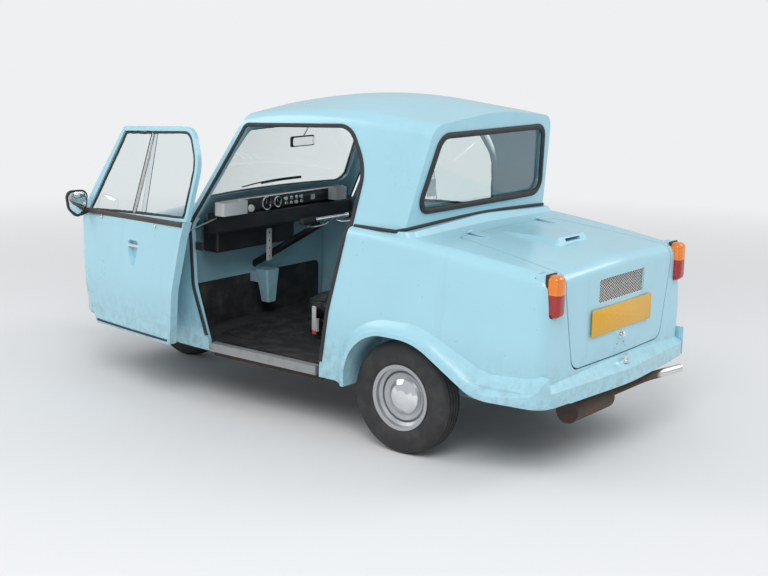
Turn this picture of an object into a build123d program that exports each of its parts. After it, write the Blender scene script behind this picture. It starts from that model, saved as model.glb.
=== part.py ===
"""Single-seat three-wheeled invalid carriage with a moulded plastic body.

Frame: millimetres, X forward, Y left, Z up, ground at Z = 0, the centre plane at
Y = 0 and X = 0 at the rear axle. Each sub-part is written to parts/NODE.step.
"""
import os
from math import acos, cos, radians, sin, tan

from build123d import *

# Driving dimensions: wheels and running gear
WHEELBASE = 1870.0
REAR_TRACK = 1140.0
TYRE_RADIUS = 244.0
TYRE_WIDTH = 126.0
RIM_RADIUS = 136.0
RIM_WIDTH = 104.0
HUBCAP_RADIUS = 74.0
HUB_RADIUS = 32.0
WELL_RADIUS = 116.0
WELL_HALF = 22.0
STEEL = 4.0
FIT_GAP = 0.3

# Driving dimensions: body moulding
REAR_FACE_X = -690.0
REAR_CORNER_X = -668.0
NOSE_REACH = 355.0
NOSE_X = WHEELBASE + NOSE_REACH
WALL = 26.0
BODY_FOOT_Z = 255.0
BELT_RADIUS = 300.0
SEAM_RADIUS = 2500.0
REAR_EDGE_RADIUS = 55.0
NOSE_CORNER = (NOSE_X - 60.0, 525.0, 250.0)
WAIST_SIDE_Z = 938.0
WAIST_CENTRE_Z = 962.0
SHUT_GAP = 6.0

# Lower body stations: x, half width at foot, half width and height at belt, half width and
# height at shoulder, crown height, shoulder radius, crown radius
BODY_STATIONS = (
    (-760.0, 590.0, 606.0, 560.0, 565.0, 820.0, 846.0, 60.0, 2500.0),
    (-350.0, 612.0, 630.0, 560.0, 592.0, 880.0, 898.0, 55.0, 2500.0),
    (60.0, 622.0, 640.0, 560.0, 603.0, 922.0, 935.0, 48.0, 2500.0),
    (520.0, 622.0, 640.0, 560.0, 606.0, 940.0, 955.0, 50.0, 2500.0),
    (1095.0, 612.0, 630.0, 560.0, 604.0, 918.0, 951.0, 90.0, 2500.0),
    (1500.0, 575.0, 600.0, 530.0, 565.0, 850.0, 905.0, 110.0, 2000.0),
    (NOSE_X - 275.0, 490.0, 530.0, 470.0, 490.0, 735.0, 800.0, 120.0, 1500.0),
    (NOSE_X + 105.0, 400.0, 450.0, 400.0, 410.0, 620.0, 690.0, 110.0, 1200.0),
)
TAIL_ROWS = BODY_STATIONS[:4]
DOOR_ROWS = BODY_STATIONS[2:6]
NOSE_ROWS = BODY_STATIONS[4:]

# How far the nose's plan outline is drawn back at each height, which rounds its top edge
NOSE_DRAW = 0.4
NOSE_ROLL_Z = 400.0
NOSE_ROLL = (
    (NOSE_ROLL_Z, 0.0),
    (500.0, 0.0),
    (580.0, 5.0),
    (640.0, 17.0),
    (690.0, 45.0),
    (740.0, 108.0),
    (800.0, 235.0),
    (1000.0, 700.0),
)

# Cabin top stations: x, half width at foot, at eave, eave z, crown z
CABIN_FOOT_Z = 864.0
EAVE_RADIUS = 75.0
CABIN_STATIONS = (
    (-200.0, 542.0, 440.0, 1355.0, 1395.0),
    (0.0, 563.0, 470.0, 1380.0, 1428.0),
    (350.0, 585.0, 500.0, 1405.0, 1482.0),
    (700.0, 591.0, 508.0, 1398.0, 1474.0),
    (1050.0, 589.0, 500.0, 1352.0, 1414.0),
    (1450.0, 570.0, 470.0, 1270.0, 1320.0),
)
CABIN_REAR_FOOT_X = 60.0
CABIN_REAR_TOP_X = -14.0
CABIN_REAR_BOW = 22.0
CABIN_REAR_TOP_Z = 1360.0
SCREEN_FOOT_X = 1345.0
SCREEN_TOP_X = 1085.0
SCREEN_FOOT_Z = 930.0
SCREEN_TOP_Z = 1330.0
SCREEN_BOW = 75.0
SCREEN_HALF_CHORD = 520.0
GLASS = 6.0
GLASS_INSET = 9.0

# Openings, as (u, v, corner radius): X and Z for the doorway, Y and Z for the windows
DOORWAY = (
    (455.0, 240.0, 0.0),
    (442.0, 306.0, 0.0),
    (330.0, 880.0, 150.0),
    (284.0, 1180.0, 220.0),
    (380.0, 1348.0, 90.0),
    (985.0, 1314.0, 30.0),
    (1262.0, 850.0, 90.0),
    (1215.0, 560.0, 400.0),
    (1131.0, 303.0, 0.0),
    (1118.0, 240.0, 0.0),
)
REAR_WINDOW = ((-484.0, 1018.0, 50.0), (-402.0, 1326.0, 60.0), (402.0, 1326.0, 60.0), (484.0, 1018.0, 50.0))
WINDSCREEN = ((-522.0, 955.0, 42.0), (-428.0, 1288.0, 48.0), (428.0, 1288.0, 48.0), (522.0, 955.0, 42.0))

# Rear wheel arch and its flared lip, in X and Z
ARCH = (
    (262.0, 150.0, 0.0),
    (262.0, 510.0, 205.0),
    (-95.0, 510.0, 300.0),
    (-400.0, 325.0, 240.0),
    (-900.0, 325.0, 0.0),
    (-900.0, 150.0, 0.0),
)
ARCH_INNER_Y = 455.0
LIP_Y = 680.0
LIP_ROOT_Y = 596.0
LIP_SPREAD = 96.0
LIP_EDGE = 18.0
LIP_TAPER = ((-330.0, 684.0, 0.0), (-704.0, 642.0, 98.0))

# Bumper ledges: plan corners (x, y, radius) of the half outline, and heights
REAR_BUMPER = ((-300.0, 655.0, 0.0), (-702.0, 640.0, 100.0), (-752.0, 0.0, 1500.0))
BUMPER_FOOT_Z = 322.0
TAIL_FOOT_X = -390.0
BUMPER_FACE_Z = 385.0
BUMPER_TOP_Z = 432.0

# Engine lid
LID_FRONT_X = -112.0
LID_FRONT_HALF = 378.0
LID_REAR_HALF = 456.0
LID_FOOT_HALF = 385.0
LID_FOOT_Z = 440.0
LID_WIDE_Z = 760.0
LID_SKIN = 14.0
LID_HINGE_X = -95.0
LID_HINGE_Z = 923.5
LID_STRAP_TIP = (-215.0, 905.9)
LID_HOLE_Y = (-45.0, 45.0)
LID_HOLE_Z = 467.0
LID_HOLE_RADIUS = 3.0
STRAP_Y = 278.0
STRAP_HALF = 17.0
STRAP_PROUD = 3.5
STRAP_SUNK = 3.0
KNUCKLE_RADIUS = 6.0
SCOOP_FRONT = (-125.0, 160.0, 0.0)
SCOOP_REAR_X = -430.0
SCOOP_BASE_HALF = 190.0
SCOOP_TOP_HALF = 107.0
SCOOP_TOP_Z = 914.0
SLOT_HALF = 62.0
SLOT_HEIGHT = 13.0
GRILLE_HALF = 196.0
GRILLE_LOW_Z = 678.0
GRILLE_HIGH_Z = 782.0

# Door
DOOR_THICK = 38.0
DOOR_FACE_Y = 628.0
DOOR_SWING = 10.4
DOOR_DROOP = 1.4
FRAME_TUBE = 22.0

# Cabin: outlines as (u, v) corners, X and Y for the floor, Y and Z for the upright boards
FLOOR_Z = 292.0
FLOOR_THICK = 12.0
BULKHEAD_X = 215.0
BULKHEAD_HALF = 586.2
TOE_X = WHEELBASE - 450.0
SEAT_X = 760.0
SEAT_WIDTH = 480.0
SEAT_DEPTH = 440.0
SEAT_PAN_Z = 400.0
SEAT_TOP_Z = 500.0
SEAT_LEAN = 12.0
SEAT_ROLL = 22.0
CABIN_HALF = 545.0
ARCH_BOX_Y = 438.0
ARCH_BOX_Z = 532.0
SHELF_LOW_X = 110.0
SHELF_HALF = 555.0
SHELF_Z = (848.0, 862.0)
TOE_BOARD = 14.0
TOE_HALF = ((525.0, FLOOR_Z), (540.0, 680.0), (470.0, 780.0))
POST_SECTIONS = ((TOE_X - 110.0, 372.0, 26.0, 30.0), (TOE_X - 100.0, 540.0, 42.0, 48.0))
POST_CORNER = 10.0
DASH_HALF = 505.0
DASH = (
    (1172.0, 790.0, 10.0),
    (1178.0, 866.0, 12.0),
    (1205.0, 880.0, 8.0),
    (1240.0, 884.0, 0.0),
    (1240.0, 790.0, 0.0),
)
BRACKET_Y = (300.0, 330.0)
TREAD_X = (464.0, 1112.0)
TREAD_Y = 624.0
TREAD_Z = (258.0, 298.0)

# Left door's closed place, its window frame and where it stands open
WAIST_Z = 885.0
WAIST_FALL = 38.0
FRAME_Y = 588.0
FRAME_LEAN = 12.0
FRAME_TOP_Z = 1310.0
PANE_SPLIT_X = 700.0
HANDLE_X = 745.0
HANDLE_Z = 725.0
RECESS = (
    (-58.0, 45.0, 26.0),
    (58.0, 45.0, 26.0),
    (40.0, -40.0, 60.0),
    (0.0, -120.0, 22.0),
    (-40.0, -40.0, 60.0),
)
MIRROR_AT = (1175.0, 668.0, 905.0)
MIRROR = (
    (-62.0, 62.0, 34.0),
    (62.0, 62.0, 34.0),
    (50.0, -30.0, 50.0),
    (0.0, -80.0, 26.0),
    (-50.0, -30.0, 50.0),
)
STAY_END = (1190.0, 480.0, 868.0)
STAY_RADIUS = 4.0
DOOR_PIVOT = (330.0, 628.0, 885.0)
DOOR_OPEN_AT = (1118.0, 800.0, 880.0)

# Lamps, bonnet and grille
LAMP_Y = 533.0
LAMP_HALF = 36.0
LAMP_LOW_Z = 678.0
LAMP_SPLIT_Z = 770.0
LAMP_HIGH_Z = 848.0
LAMP_FACE_X = -706.0
LAMP_BACK_X = -600.0
HEADLAMP_Y = 352.0
HEADLAMP_Z = 560.0
HEADLAMP_RADIUS = 84.0
HEADLAMP_BACK_X = NOSE_X - 135.0
HEADLAMP_FACE_X = NOSE_X - 35.0
BONNET_REAR_X = 1560.0
BONNET_HINGE_X = 1545.0
BONNET_HINGE_Z = 884.7
BONNET_STRAP_TIP = (1660.0, 849.7)
BONNET_STRAP_Y = 200.0
BONNET_REAR_HALF = 380.0
BONNET_FRONT_X = NOSE_X - 195.0
BONNET_FRONT_HALF = 300.0
GRILLE_SET_BACK = 12.0
GRILLE_THICK = 3.0
GRILLE_RIM = 5.0
MESH_PITCH_Y = 34.0
MESH_PITCH_Z = 18.8
MESH_BAR = 1.6

# Chassis and exhaust: long bars as x low, x high, y low, y high, z low, z high on each side, and
# cross bars as x, half width, z low, z high
LINER = 12.0
AXLE_PORT_RADIUS = 64.0
AXLE_RADIUS = 20.0
SHAFT_GAP = 0.05
RAIL_Y = 588.0
REAR_RAIL_TAIL_X = -500.0
LONG_RAIL_X = 276.0
RAIL_FOOT_Z = 230.0
RAIL_TOP_Z = 279.7
RAIL_WIDE = 40.0
TOWER_Z = 600.0
LONG_BARS = (
    (LONG_RAIL_X, TOE_X + 70.0, 468.0, 529.0, RAIL_FOOT_Z, RAIL_TOP_Z),
    (456.0, 1116.0, 528.0, RAIL_Y, RAIL_FOOT_Z, RAIL_TOP_Z),
    (REAR_RAIL_TAIL_X, LONG_RAIL_X + 10.0, 280.0, 330.0, RAIL_FOOT_Z, RAIL_TOP_Z),
    (TOE_X + 30.0, TOE_X + 70.0, 150.0, 190.0, RAIL_FOOT_Z, TOWER_Z + RAIL_WIDE),
)
CROSS_BARS = (
    (LONG_RAIL_X, 529.0, RAIL_FOOT_Z, RAIL_TOP_Z),
    (800.0, 529.0, RAIL_FOOT_Z, RAIL_TOP_Z),
    (TOE_X + 30.0, 529.0, RAIL_FOOT_Z, RAIL_TOP_Z),
    (REAR_RAIL_TAIL_X, 330.0, RAIL_FOOT_Z, RAIL_TOP_Z),
    (TOE_X + 30.0, 190.0, TOWER_Z, TOWER_Z + RAIL_WIDE),
)
ARM = ((208.0, 278.0, 20.0), (208.0, 222.0, 20.0), (-34.0, 216.0, 24.0), (-34.0, 284.0, 24.0))
ARM_Y = (345.0, 385.0)
ARM_PIVOT = (180.0, 252.0, 20.0)
BRAKE_RADIUS = 52.0
ENGINE_LOW = (-500.0, -278.0)
ENGINE_HIGH = (-130.0, 278.0)
ENGINE_TOP_Z = 640.0
ENGINE_FOOT_HALF = 320.0
SILENCER_X = -574.0
SILENCER_Z = 210.0
SILENCER_RADIUS = 53.7
PIPE_RADIUS = 18.5
TILLER_HEAD = (905.0, 0.0, 846.0)
COLUMN_RAKE = 30.0
COLUMN_RADIUS = 18.0
TILLER_STEM_R = 12.0
TILLER_BAR_R = 10.0
TILLER_HALF = 215.0
GRIP_R = 15.0
GRIP_LONG = 95.0

# Steering
STEM_R = 16.0
FORK_HALF = 84.0
BLADE = 14.0


def rounded_wire(corners):
    """Closed wire through (u, v, radius) corners, each rounded by a tangent arc."""
    marks = []
    for index, (u, v, radius) in enumerate(corners):
        here = Vector(u, v)
        back = (Vector(*corners[index - 1][:2]) - here).normalized()
        onward = (Vector(*corners[(index + 1) % len(corners)][:2]) - here).normalized()
        if radius == 0:
            marks.append((here, None, here))
            continue
        half = acos(max(-1.0, min(1.0, back.dot(onward)))) / 2
        centre = here + (back + onward).normalized() * (radius / sin(half))
        middle = centre + (here - centre).normalized() * radius
        reach = radius / tan(half)
        marks.append((here + back * reach, middle, here + onward * reach))
    edges = []
    for index, (start, middle, end) in enumerate(marks):
        if middle is not None:
            edges.append(Edge.make_three_point_arc(start, middle, end))
        following = marks[(index + 1) % len(marks)][0]
        if (following - end).length > 1e-4:
            edges.append(Edge.make_line(end, following))
    return Wire(edges)


def side_prism(corners, y_low, y_high):
    """Solid between two Y values whose outline is given in X and Z."""
    face = Plane(origin=(0, y_low, 0), x_dir=(1, 0, 0), z_dir=(0, -1, 0)) * make_face(rounded_wire(corners))
    return extrude(face, amount=y_high - y_low, dir=(0, 1, 0))


def cross_prism(corners, x_low, x_high):
    """Solid between two X values whose outline is given in Y and Z."""
    face = Plane(origin=(x_low, 0, 0), x_dir=(0, 1, 0), z_dir=(1, 0, 0)) * make_face(rounded_wire(corners))
    return extrude(face, amount=x_high - x_low, dir=(1, 0, 0))


def plan_prism(corners, z_low, z_high):
    """Solid between two Z values whose outline is given in X and Y."""
    face = Plane(origin=(0, 0, z_low)) * make_face(rounded_wire(corners))
    return extrude(face, amount=z_high - z_low, dir=(0, 0, 1))


def mirrored(corners):
    """Closed plan outline from the half that runs from the side to the centre plane."""
    return tuple(corners) + tuple((x, -y, r) for x, y, r in reversed(corners) if y != 0)


def block(low, high):
    """Box between two corners."""
    size = [b - a for a, b in zip(low, high)]
    centre = [(a + b) / 2 for a, b in zip(low, high)]
    return Pos(*centre) * Box(*size)


def rod(start, end, radius):
    """Round bar between two points."""
    axis = Vector(*end) - Vector(*start)
    return extrude(Plane(origin=start, z_dir=axis) * Circle(radius), amount=axis.length)


def station(x, corners):
    """Closed wire in the cross plane at x."""
    return Plane(origin=(x, 0, 0), x_dir=(0, 1, 0), z_dir=(1, 0, 0)) * rounded_wire(corners)


def body_loft(rows, inset=0.0, foot=BODY_FOOT_Z):
    """Lower body form through some of its stations, drawn in by inset."""
    wires = []
    for x, at_foot, at_belt, belt_z, at_edge, edge_z, crown_z, radius, crown_radius in rows:
        shoulder = max(radius - inset, 12.0)
        half = (
            (at_foot - inset, foot, 0.0),
            (at_belt - inset, belt_z, BELT_RADIUS),
            (at_edge - inset, edge_z - inset, shoulder),
        )
        top = (0.0, crown_z - inset, crown_radius)
        left = tuple((-y, z, r) for y, z, r in half)
        wires.append(station(x, left + (top,) + tuple(reversed(half))))
    return Solid.make_loft(wires)


def tail_form(inset=0.0, foot=BODY_FOOT_Z):
    """Lower body behind the doors, with its rear edges rounded when it is the outside."""
    corner = (REAR_CORNER_X + inset, 900.0, 0.0)
    plan = ((REAR_FACE_X + inset, 0.0, 3000.0),) + mirrored((corner, (600.0, 900.0, 0.0)))
    form = body_loft(TAIL_ROWS, inset, foot) & plan_prism(plan, foot, 1200.0)
    if inset == 0.0:
        rear = [e for e in form.edges() if (e @ 0.5).X < -600 and (e @ 0.5).Z > 300]
        form = fillet(rear, REAR_EDGE_RADIUS)
    return form


def nose_plan(set_back):
    """Plan outline of the nose, drawn back by set_back."""
    nose_x, nose_y, nose_radius = NOSE_CORNER
    half = (
        (900.0, 900.0, 0.0),
        (1560.0, 790.0, 0.0),
        (nose_x - set_back, nose_y - set_back * NOSE_DRAW, nose_radius),
        (NOSE_X - set_back, 0.0, 1200.0),
    )
    return mirrored(half)


def nose_form(inset=0.0, foot=BODY_FOOT_Z):
    """Lower body ahead of the doors, rounded in plan and over its top edge."""
    lower = plan_prism(nose_plan(inset), foot, NOSE_ROLL_Z - inset)
    wires = [Pos(0, 0, z - inset) * rounded_wire(nose_plan(back + inset)) for z, back in NOSE_ROLL]
    return body_loft(NOSE_ROWS, inset, foot) & (lower + Solid.make_loft(wires))


def cabin_loft(inset=0.0):
    """Cabin top form before its rear and its windscreen are cut."""
    wires = []
    for x, at_foot, at_eave, eave_z, crown_z in CABIN_STATIONS:
        half = ((at_foot - inset, CABIN_FOOT_Z, 0.0), (at_eave - inset, eave_z - inset, EAVE_RADIUS - inset))
        left = tuple((-y, z, r) for y, z, r in half)
        wires.append(station(x, left + ((0.0, crown_z - inset, 1500.0),) + tuple(reversed(half))))
    return Solid.make_loft(wires)


def bowed_slab(foot_x, top_x, foot_z, top_z, bow, chord, depth, margin=400.0):
    """Slab behind a bowed and raked surface: bow is how far its middle leads its sides."""
    slope = (top_x - foot_x) / (top_z - foot_z)
    base_z = CABIN_FOOT_Z - 100.0
    base_x = foot_x + slope * (base_z - foot_z)
    middle = Vector(base_x, 0, base_z)
    side_x = base_x - bow
    arc = Edge.make_three_point_arc(Vector(side_x, -chord, base_z), middle, Vector(side_x, chord, base_z))
    back = [
        Edge.make_line(Vector(side_x, chord, base_z), Vector(side_x + depth, chord, base_z)),
        Edge.make_line(Vector(side_x + depth, chord, base_z), Vector(side_x + depth, -chord, base_z)),
        Edge.make_line(Vector(side_x + depth, -chord, base_z), Vector(side_x, -chord, base_z)),
    ]
    height = top_z + margin - base_z
    return extrude(make_face(Wire([arc] + back)), amount=Vector(slope * height, 0, height).length,
                   dir=(slope, 0, 1))


def behind_rear(inset=0.0):
    """Space behind the cabin's rear face."""
    return bowed_slab(CABIN_REAR_FOOT_X - CABIN_REAR_BOW + inset, CABIN_REAR_TOP_X - CABIN_REAR_BOW + inset,
                      WAIST_SIDE_Z, CABIN_REAR_TOP_Z, -CABIN_REAR_BOW, 900.0, -900.0)


def before_screen(inset=0.0):
    """Space in front of the windscreen's surface."""
    scale = (900.0 / SCREEN_HALF_CHORD) ** 2
    return bowed_slab(SCREEN_FOOT_X - inset, SCREEN_TOP_X - inset, SCREEN_FOOT_Z, SCREEN_TOP_Z,
                      SCREEN_BOW * scale, 900.0, 1500.0)


def cabin_form(inset=0.0):
    """Cabin top as one solid."""
    return cabin_loft(inset) - behind_rear(inset) - before_screen(inset)


def below_waist():
    """Everything below the crowned waist seam behind the doorway."""
    profile = ((-700.0, 600.0, 0.0), (-700.0, WAIST_SIDE_Z - 6, 0.0), (0.0, WAIST_CENTRE_Z, SEAM_RADIUS),
               (700.0, WAIST_SIDE_Z - 6, 0.0), (700.0, 600.0, 0.0))
    return cross_prism(profile, -300.0, 460.0)


def waist_plinth(inset=0.0):
    """Raised ledge that carries the cabin top above the rear deck."""
    low_z, high_z = 870.0, 990.0
    low = ((600.0, 590.0), (-48.0, 590.0), (-60.0, 0.0))
    high = ((600.0, 556.0), (48.0 + inset, 556.0), (38.0 + inset, 0.0))
    wires = []
    for z, half in ((low_z, low), (high_z, high)):
        corners = [(x, y - inset, 45.0 if x < 500 and y else 0.0) for x, y in half]
        corners[-1] = (corners[-1][0], 0.0, 1500.0)
        wires.append(Pos(0, 0, z) * rounded_wire(mirrored(corners)))
    return Solid.make_loft(wires, ruled=True) & below_waist()


def arch_offset(amount, cut_foot=150.0):
    """The arch outline grown outwards by amount, with the same corners."""
    front_x, top_z = ARCH[0][0] + amount, ARCH[1][1] + amount
    rear = ARCH[3]
    return (
        (front_x, cut_foot, 0.0),
        (front_x, top_z, ARCH[1][2] + amount),
        (ARCH[2][0] - amount * 0.27, top_z, ARCH[2][2]),
        (rear[0] - amount * 0.27, rear[1] + amount, rear[2]),
        (-900.0, rear[1] + amount, 0.0),
        (-900.0, cut_foot, 0.0),
    )


def arch_lip(side):
    """Flared lip round one rear arch, blended out of the body side."""
    steps = ((LIP_ROOT_Y, LIP_SPREAD + 30.0), (640.0, LIP_SPREAD * 0.62), (664.0, LIP_SPREAD * 0.30),
             (LIP_Y, LIP_EDGE))
    wires = []
    for y, spread in steps:
        plane = Plane(origin=(0, y * side, 0), x_dir=(1, 0, 0), z_dir=(0, -1, 0))
        wires.append(plane * rounded_wire(arch_offset(spread, BODY_FOOT_Z)))
    plan = ((500.0, 700.0, 0.0),) + LIP_TAPER + REAR_BUMPER[-1:]
    return Solid.make_loft(wires) & plan_prism(mirrored(plan), 0.0, 700.0)


def rear_bumper():
    """Moulded bumper ledge round the tail."""
    body = plan_prism(mirrored(REAR_BUMPER), BUMPER_FOOT_Z, BUMPER_FACE_Z)
    low = Pos(0, 0, BUMPER_FACE_Z) * rounded_wire(mirrored(REAR_BUMPER))
    high_corners = tuple((x + (0 if y > 645 else 62.0), y - (0 if y == 0 else 34.0), r)
                         for x, y, r in REAR_BUMPER)
    high = Pos(0, 0, BUMPER_TOP_Z) * rounded_wire(mirrored(high_corners))
    return body + Solid.make_loft([low, high], ruled=True)


def nose_bumper():
    """Moulded ledge round the nose."""
    grow = 22.0
    corner_x, corner_y, radius = NOSE_CORNER
    half = ((1480.0, 574.0, 0.0), (corner_x + grow, corner_y + grow, radius), (NOSE_X + 10.0, 0.0, 1200.0))
    top = ((1480.0, 550.0, 0.0), (corner_x - grow, corner_y - grow * 2, radius), (NOSE_X - 40.0, 0.0, 1200.0))
    low = Pos(0, 0, BUMPER_FACE_Z) * rounded_wire(mirrored(half))
    high = Pos(0, 0, BUMPER_TOP_Z) * rounded_wire(mirrored(top))
    face = plan_prism(mirrored(half), BUMPER_FOOT_Z - 25.0, BUMPER_FACE_Z)
    return face + Solid.make_loft([low, high], ruled=True)


def doorway(y_low, y_high, grow=0.0):
    """Doorway cutter."""
    corners = [(x + (grow if x > 700 else -grow), z + (grow if z > 1000 else 0), r) for x, z, r in DOORWAY]
    corners[0] = (corners[0][0], 100.0, 0.0)
    corners[-1] = (corners[-1][0], 100.0, 0.0)
    return side_prism(corners, y_low, y_high)


def lid_region(gap=0.0):
    """Space that the engine lid takes up, wider by gap when the body is cut for it."""
    deck = ((LID_FRONT_X + gap, LID_FRONT_HALF + gap, 30.0), (-600.0, LID_REAR_HALF + gap, 400.0),
            (-900.0, LID_REAR_HALF + gap, 0.0))
    plan = plan_prism(mirrored(deck), LID_WIDE_Z - gap, 1100.0)
    face = ((-LID_REAR_HALF - gap, LID_WIDE_Z, 0.0), (-LID_FOOT_HALF - gap, LID_FOOT_Z - gap, 60.0),
            (LID_FOOT_HALF + gap, LID_FOOT_Z - gap, 60.0), (LID_REAR_HALF + gap, LID_WIDE_Z, 0.0))
    return plan + cross_prism(face, -900.0, -560.0)


def biggest(shape):
    """Largest solid of a shape."""
    return max(shape.solids(), key=lambda s: s.volume)


def save(node, shape):
    """Write one sub-part."""
    solids = shape.solids()
    out = solids[0] if len(solids) == 1 else Compound(children=list(solids))
    out.label = node
    export_step(out, os.path.join("parts", node + ".step"))


def in_cross_plane(x, corners):
    """Closed wire at x from (y, z) corners."""
    return station(x, tuple((y, z, 0.0) for y, z in corners))


def scoop():
    """Wedge-shaped air scoop on the engine lid, with its slot facing the tail."""
    front_x, front_half, _ = SCOOP_FRONT
    sunk = 850.0
    front = in_cross_plane(front_x, ((-front_half, sunk), (-front_half * 0.8, 914.0),
                                     (front_half * 0.8, 914.0), (front_half, sunk)))
    rear = in_cross_plane(SCOOP_REAR_X, ((-SCOOP_BASE_HALF, sunk), (-SCOOP_TOP_HALF, SCOOP_TOP_Z),
                                         (SCOOP_TOP_HALF, SCOOP_TOP_Z), (SCOOP_BASE_HALF, sunk)))
    tail = in_cross_plane(SCOOP_REAR_X - 26.0, ((-SCOOP_BASE_HALF, sunk), (-SCOOP_TOP_HALF, sunk + 20.0),
                                                (SCOOP_TOP_HALF, sunk + 20.0), (SCOOP_BASE_HALF, sunk)))
    wedge = Solid.make_loft([front, rear], ruled=True) + Solid.make_loft([rear, tail], ruled=True)
    slot_top = SCOOP_TOP_Z - 8.0
    slot = block((SCOOP_REAR_X - 60.0, -SLOT_HALF, slot_top - SLOT_HEIGHT),
                 (SCOOP_REAR_X + 70.0, SLOT_HALF, slot_top))
    return wedge, slot


def strap_hinge(pivot, tip, half_width, y, reach):
    """Pointed strap hinge and its knuckle, from the pivot (x, z) to its tip (x, z) on the lid."""
    lead = 1.0 if tip[0] > pivot[0] else -1.0
    profile = ((pivot[0], pivot[1] - 3.0, 0.0), (pivot[0], pivot[1] + 3.0, 0.0),
               (pivot[0] + lead * 20.0, pivot[1] + 1.0, 0.0), (tip[0], tip[1] + STRAP_PROUD, 0.0),
               (tip[0], tip[1] - STRAP_SUNK, 0.0), (pivot[0] + lead * 17.0, reach, 0.0))
    outline = ((pivot[0], y - half_width, 0.0), (pivot[0], y + half_width, 0.0),
               (pivot[0] + lead * 40.0, y + half_width, 0.0), (tip[0], y, 6.0),
               (pivot[0] + lead * 40.0, y - half_width, 0.0))
    leaf = side_prism(profile, y - half_width, y + half_width) & plan_prism(outline, 700.0, 1000.0)
    pin_from, pin_to = ((pivot[0], y + reach, pivot[1]) for reach in (-half_width, half_width))
    return leaf + rod(pin_from, pin_to, KNUCKLE_RADIUS)


def make_tail():
    """Rear body with its plinth, arches and bumper, the engine lid, its grille and the rear lamps."""
    outside = tail_form()
    hollow = tail_form(WALL, 100.0)
    shell = outside + [waist_plinth(), arch_lip(1), arch_lip(-1), rear_bumper()]
    shelf_room = block((130.0, -500.0, 800.0), (600.0, 500.0, 1000.0))
    shell = shell - [hollow, waist_plinth(WALL) & shelf_room, cabin_form(WALL)]
    liners, voids = [], []
    for side in (1, -1):
        y_low, y_high = sorted((side * (ARCH_INNER_Y - LINER), side * 640.0))
        box = block((-640.0, -700.0, 0.0), (400.0, 700.0, 700.0))
        liners.append(side_prism(arch_offset(LINER), y_low, y_high) & outside & box)
        y_low, y_high = sorted((side * ARCH_INNER_Y, side * 800.0))
        voids.append(side_prism(arch_offset(0.0), y_low, y_high))
        y_low, y_high = sorted((side * (ARCH_INNER_Y - 60.0), side * 500.0))
        voids.append(rod((0.0, y_low, TYRE_RADIUS), (0.0, y_high, TYRE_RADIUS), AXLE_PORT_RADIUS))
        voids.append(lamp_block(side, FIT_GAP))
    shell = (shell + liners) - voids
    tail_foot = block((-900.0, -900.0, 0.0), (TAIL_FOOT_X, 900.0, BUMPER_FOOT_Z))
    lid_hole = lid_region(SHUT_GAP) & block((-900.0, -900.0, LID_FOOT_Z - SHUT_GAP), (400.0, 900.0, 1100.0))
    shell = shell - [doorway(-900.0, 900.0), tail_foot, lid_hole]
    save("body_rear", biggest(shell))

    wedge, slot = scoop()
    skin_inner = tail_form(LID_SKIN, 100.0)
    grille_hole = cross_prism(grille_outline(0.0), -900.0, -600.0)
    lid = ((outside & lid_region()) + wedge) - [skin_inner, slot, grille_hole]
    for y in LID_HOLE_Y:
        lid = lid - rod((-720.0, y, LID_HOLE_Z), (-640.0, y, LID_HOLE_Z), LID_HOLE_RADIUS)
    for side in (1, -1):
        lid = lid + strap_hinge((LID_HINGE_X, LID_HINGE_Z), LID_STRAP_TIP, STRAP_HALF, side * STRAP_Y, 919.0)
    save("engine_lid", biggest(lid))
    save("engine_lid_grille", grille())
    lamps = []
    for side in (1, -1):
        lamps.append(lamp_block(side) & block((-900.0, -900.0, 0.0), (0.0, 900.0, LAMP_SPLIT_Z - FIT_GAP)))
        lamps.append(lamp_block(side) & block((-900.0, -900.0, LAMP_SPLIT_Z + FIT_GAP), (0.0, 900.0, 1000.0)))
    save("rear_lamps", Compound(children=[lamp.solids()[0] for lamp in lamps]))


def make_nose():
    """Front body with its bumper ledge, the bonnet lid and the headlamps."""
    outside = nose_form()
    shell = (outside + nose_bumper()) - nose_form(WALL, 100.0) - cabin_form()
    shell = shell - [doorway(-900.0, 900.0), bonnet_region(SHUT_GAP), headlamp_bowls()]
    save("body_nose", biggest(shell))
    bonnet = (outside & bonnet_region()) - nose_form(LID_SKIN, 100.0)
    for side in (1, -1):
        bonnet = bonnet + strap_hinge((BONNET_HINGE_X, BONNET_HINGE_Z), BONNET_STRAP_TIP, STRAP_HALF,
                                      side * BONNET_STRAP_Y, 874.0)
    save("bonnet_lid", biggest(bonnet))
    save("headlamps", Compound(children=[headlamp(side) for side in (1, -1)]))


def make_cabin_top():
    """Cabin top with its rear window and windscreen."""
    cabin = biggest(cabin_form() - cabin_form(WALL) - below_waist() - doorway(-900.0, 900.0))
    rear_hole = cross_prism(REAR_WINDOW, -300.0, 300.0)
    screen_hole = cross_prism(WINDSCREEN, 900.0, 1600.0)
    save("cabin_top", biggest(cabin - rear_hole - screen_hole))
    pane = cabin_form(GLASS_INSET) - cabin_form(GLASS_INSET + GLASS)
    save("rear_window", biggest(pane & rear_hole))
    save("windscreen", biggest(pane & screen_hole))


def grille_outline(inset):
    """Grille opening in the lid's rear face."""
    half, low, high = GRILLE_HALF - inset, GRILLE_LOW_Z + inset, GRILLE_HIGH_Z - inset
    return ((-half, low, 10.0), (-half, high, 10.0), (half, high, 10.0), (half, low, 10.0))


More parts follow.
